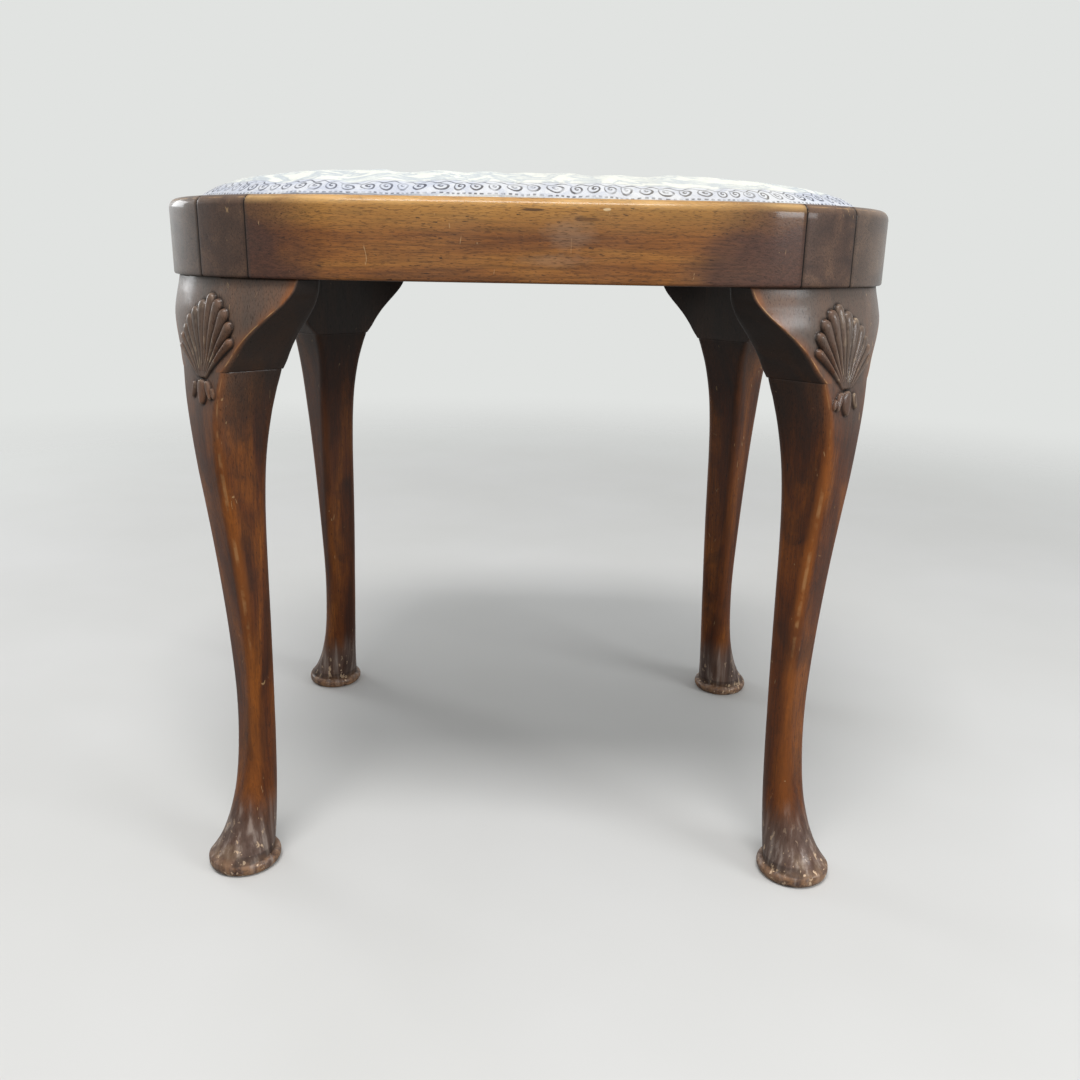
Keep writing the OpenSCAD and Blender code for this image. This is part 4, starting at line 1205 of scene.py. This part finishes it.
def printed_cotton():
    """The cover's cotton: foliage, the border, a painted shadow line at the edge, threads and age."""
    material, tree, shader = new_material("printed_cotton")
    place = add(tree, "ShaderNodeTexCoord").outputs
    spot = place["Object"]
    along, inward, _ = add(tree, "ShaderNodeSeparateXYZ", {0: place["UV"]}).outputs
    inward = swayed(tree, inward, spot, 42, 3, 5.0)
    along = swayed(tree, along, spot, 30, 2, 1.3)
    leaf = patches(tree, spot, 30, 4, [(0.47, 0.0), (0.53, 1.0), (0.64, 0.3)], 2.0)
    vein = patches(tree, spot, 60, 2, [(0.47, 0.0), (0.5, 1.0), (0.53, 0.0)], 3.0)
    colour = blend(tree, times(tree, leaf, 0.6), srgb(222, 223, 214), srgb(148, 160, 176))
    colour = blend(tree, times(tree, vein, leaf, 0.3), colour, srgb(150, 160, 172))
    colour = blend(tree, times(tree, band(tree, inward, *BORDER, 1.5), 0.6), colour, srgb(186, 189, 206))
    colour = blend(tree, border_ink(tree, along, inward, spot), colour, srgb(26, 30, 50))
    # Painted shadow: a broken dark line where the cover meets the rail's lip.
    edge_shadow = patches(tree, spot, 11, 2, [(0.44, 0.1), (0.56, 0.8)])
    edge_shadow = times(tree, band(tree, inward, *EDGE_SHADE, EDGE_SOFT), edge_shadow)
    colour = blend(tree, edge_shadow, colour, srgb(58, 54, 56))
    threads = add(tree, "ShaderNodeMapping", {"Vector": spot, "Scale": (THREADS,) * 3}).outputs[0]
    warp, weft, _ = add(tree, "ShaderNodeSeparateXYZ", {0: threads}).outputs
    weave = times(tree, maths(tree, "SINE", warp), maths(tree, "SINE", weft))
    slub = noise(tree, spot, (500, 90, 200), 2)
    colour = blend(tree, 0.5, colour, ramp(tree, slub, [(0.3, 0.9), (0.7, 1.05)]), "MULTIPLY")
    stain = patches(tree, spot, 7, 4, [(0.5, 0.0), (0.8, 0.35)])
    colour = blend(tree, stain, colour, srgb(214, 206, 184))
    height = maths(tree, "MULTIPLY_ADD", slub, 0.6, weave)
    connect(tree, shader, {"Base Color": colour, "Roughness": 0.85, "Sheen Weight": 0.08,
                           "Sheen Roughness": 0.5, "Normal": bumped(tree, height, 0.35, 0.0002)})
    return material


cover.data.materials.append(printed_cotton())
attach(cover, "seat")
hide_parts("stuffing", "seat_cover")
print("cover dressed")

# %% [markdown]
# Under the wadding lie a hessian and six straps of webbing, woven over and under each other. They show
# from below, through the frame. A strap is a flat section swept along a path that rises and dips.
# %% Jute
def jute(name, dark, light, threads):
    """A coarse plain weave: two sets of threads with thick and thin places."""
    material, tree, shader = new_material(name)
    place = add(tree, "ShaderNodeTexCoord").outputs["Object"]
    scaled = add(tree, "ShaderNodeMapping", {"Vector": place, "Scale": (threads,) * 3}).outputs[0]
    sides = add(tree, "ShaderNodeSeparateXYZ", {0: scaled}).outputs
    warp, weft = (maths(tree, "SINE", times(tree, side, math.pi)) for side in sides[:2])
    gaps = times(tree, maths(tree, "ABSOLUTE", warp), maths(tree, "ABSOLUTE", weft))
    fibre = noise(tree, place, (900, 120, 300), 3)
    tone = maths(tree, "MULTIPLY_ADD", fibre, 0.7, times(tree, gaps, 0.35))
    height = maths(tree, "ADD", times(tree, warp, weft, 0.5), gaps)
    connect(tree, shader, {"Base Color": ramp(tree, tone, [(0.2, dark), (0.75, light)]), "Roughness": 0.9,
                           "Normal": bumped(tree, height, 0.8, 0.0005)})
    return material


webbing_cloth = jute("webbing_cloth", srgb(104, 84, 58), srgb(176, 152, 114), 700)
hessian_cloth = jute("hessian_cloth", srgb(110, 86, 54), srgb(190, 160, 116), 520)
print("jute", webbing_cloth.name, hessian_cloth.name)

# %% A strap's section and path
WEB_Z, STRAP_W, STRAP_HALF_T, SELVEDGE, RIBBED_TO = 0.4645, 0.050, 0.00055, 0.0245, 0.022
RIB_DEPTH, RIB_TURN, STRAP_LIFT, STRAP_BASE, STRAP_INSET = 0.0001, 2500, 0.0012, 0.0006, 0.0336
LONG_PITCH, CROSS_PITCH = 2 * HALF_D * 0.18, 2 * HALF_W * 0.17
lower_half = [(-SELVEDGE, -STRAP_HALF_T)]
for x in np.linspace(-RIBBED_TO, RIBBED_TO, 23):
    lower_half.append((x, RIB_DEPTH * math.cos(x * RIB_TURN) - STRAP_HALF_T))
lower_half += [(SELVEDGE, -STRAP_HALF_T), (STRAP_W / 2, 0)]
strap_outline = lower_half + [(-x, -y) for x, y in lower_half]
strap_section = mesh_object("strap_section", [(x, y, 0) for x, y in strap_outline], [],
                            ring_edges(len(strap_outline)))


def strap_path(name, halves, pitch, turned, crossing_pitch, first_over):
    """Paths of the three straps of one direction, dipping under and over the straps they cross."""
    points, edges = [], []
    for index, (k, reach) in enumerate(zip((-1, 0, 1), halves)):
        start = len(points)
        for x in np.linspace(-reach, reach, 121):
            lift = 0.0
            for other in (0, 1, 2):
                past = abs(x - (other - 1) * crossing_pitch) - 0.026
                close = min(max(1 - past / 0.012, 0), 1)
                if (index + other) % 2 == first_over:
                    lift = max(lift, close * close * (3 - 2 * close))
            z = WEB_Z + STRAP_BASE + STRAP_LIFT * lift
            points.append((-k * pitch, x, z) if turned else (x, k * pitch, z))
        edges += [(i, i + 1) for i in range(start, len(points) - 1)]
    made = mesh_object(name, points, [], edges)
    store(made, "shrink", [1.0] * len(points))
    return made


def bow(half, radius, across):
    """How far out a bowed side of the outline is, at a distance from its middle, less the straps' inset."""
    return half - radius + math.sqrt((radius - STRAP_INSET) ** 2 - across * across)


print("strap points", len(strap_outline))

# %% Webbing
long_halves = [bow(HALF_W, END_R, abs(k) * LONG_PITCH + STRAP_W / 2) for k in (-1, 0, 1)]
cross_halves = [bow(HALF_D, LONG_R, abs(k) * CROSS_PITCH + STRAP_W / 2) for k in (-1, 0, 1)]
for name, path, node in (
        ("long_webbing_straps", strap_path("long_path", long_halves, LONG_PITCH, False, CROSS_PITCH, 0),
         "long_webbing"),
        ("cross_webbing_straps", strap_path("cross_path", cross_halves, CROSS_PITCH, True, LONG_PITCH, 1),
         "cross_webbing")):
    straps = run_nodes(path, swept_rail, {"Section": strap_section, "Wood": webbing_cloth}, name)
    straps.data.shade_smooth()
    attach(straps, "seat")
    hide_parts(node)
    print(name, len(straps.data.polygons))
bpy.data.objects.remove(strap_section)

# %% Hessian
HESSIAN_INSET, HESSIAN_LOW, HESSIAN_EDGE, HESSIAN_TOP = 0.0226, 0.46705, (0.0224, 0.4673), 0.4676


def hessian_sheet():
    """A thin closed sheet over the webbing, just inside the cover."""
    shares = np.linspace(0.03, 1, 22)
    rings = [loop(HESSIAN_INSET, HESSIAN_LOW, share) for share in shares]
    rings += [loop(*HESSIAN_EDGE)] + [loop(HESSIAN_INSET, HESSIAN_TOP, share) for share in shares[::-1]]
    return mesh_object("hessian_sheet", np.array(rings).reshape(-1, 3), tube_faces(len(rings), AROUND))


hessian = hessian_sheet()
hessian.data.materials.append(hessian_cloth)
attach(hessian, "seat")
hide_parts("hessian")

# %% [markdown]
# The cover's hem is held underneath by small blued tacks. They repeat along a path, so Geometry Nodes
# set one tack head on each point of a resampled loop.
# %% Blued tacks
TACK_PITCH, TACK_HEAD, TACK_FLAT, TACK_SEED = 0.022, 0.0026, 0.32, 7
blued_iron, tree, shader = new_material("blued_iron")
here = add(tree, "ShaderNodeTexCoord").outputs["Object"]
rust = patches(tree, here, 400, 3, [(0.4, srgb(52, 54, 60)), (0.65, srgb(84, 66, 56))])
connect(tree, shader, {"Base Color": rust, "Metallic": 1.0, "Roughness": 0.42})

tack_tree, given, result = node_group(
    "tacks_on_path", [("Pitch", "Float"), ("Head", "Float"), ("Iron", "Material")])
path = add(tack_tree, "GeometryNodeMeshToCurve", {0: given.outputs["Geometry"]})
spread = add(tack_tree, "GeometryNodeResampleCurve", {0: path.outputs[0]}, mode="LENGTH")
connect(tack_tree, spread, {"Length": given.outputs["Pitch"]})
head = add(tack_tree, "GeometryNodeMeshUVSphere",
           {"Segments": 14, "Rings": 8, "Radius": given.outputs["Head"]})
squat = add(tack_tree, "GeometryNodeTransform", {0: head.outputs[0], "Scale": (1, 1, TACK_FLAT)})
chance = add(tack_tree, "FunctionNodeRandomValue", {"Seed": TACK_SEED}, data_type="FLOAT")
connect(tack_tree, chance, {2: 0.88, 3: 1.08})
spots = add(tack_tree, "GeometryNodeInstanceOnPoints",
            {0: spread.outputs[0], "Instance": squat.outputs[0], "Scale": chance.outputs[1]})
real = add(tack_tree, "GeometryNodeRealizeInstances", {0: spots.outputs[0]})
coated = add(tack_tree, "GeometryNodeSetMaterial", {0: real.outputs[0], "Material": given.outputs["Iron"]})
connect(tack_tree, result, {0: coated.outputs[0]})
hem_path = mesh_object("hem_path", loop(0.0405, 0.44838), [], ring_edges(AROUND))
tacks = run_nodes(hem_path, tack_tree, {"Pitch": TACK_PITCH, "Head": TACK_HEAD, "Iron": blued_iron},
                  "hem_tacks")
tacks.data.shade_smooth()
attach(tacks, "seat")
print("tack faces", len(tacks.data.polygons))

# %% [markdown]
# The dowels and the seat's frame stay as the CAD made them: bare beech, with its short brown rays.
# %% Bare beech on the CAD pieces
def beech(name, turn):
    """Bare beech with its grain along x after the turn."""
    material, tree, shader = new_material(name)
    place = add(tree, "ShaderNodeTexCoord").outputs["Object"]
    grain = add(tree, "ShaderNodeMapping", {"Vector": place, "Rotation": turn}).outputs[0]
    tones = [(0.3, srgb(168, 132, 92)), (0.55, srgb(196, 160, 116)), (0.8, srgb(214, 182, 140))]
    rays = patches(tree, grain, (260, 1300, 1300), 2, [(0.6, 0.0), (0.7, 0.5)])
    colour = blend(tree, rays, patches(tree, grain, (9, 60, 60), 4, tones, 0.5), srgb(134, 92, 58))
    relief = noise(tree, grain, (30, 700, 700), 3)
    connect(tree, shader, {"Base Color": colour, "Roughness": 0.62,
                           "Normal": bumped(tree, relief, 0.2, 0.0003)})
    return material


beech_x, beech_y, beech_z = (beech("beech_" + way, turn) for way, turn in
                             (("x", (0, 0, 0)), ("y", (0, 0, QUARTER_TURN)), ("z", (0, QUARTER_TURN, 0))))
for node, wood in (("seat_front_member", beech_x), ("seat_rear_member", beech_x),
                   ("seat_left_member", beech_y), ("seat_right_member", beech_y), ("seat_dowels", beech_y),
                   ("rail_dowels", beech_x), ("leg_dowels", beech_z), ("ear_dowels", beech_z)):
    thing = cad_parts[node]
    thing.data.materials.clear()
    thing.data.materials.append(wood)
print("beech on 8 nodes")

# %% [markdown]
# Last, the view layer is brought up to date.
# %% Update
bpy.context.view_layer.update()
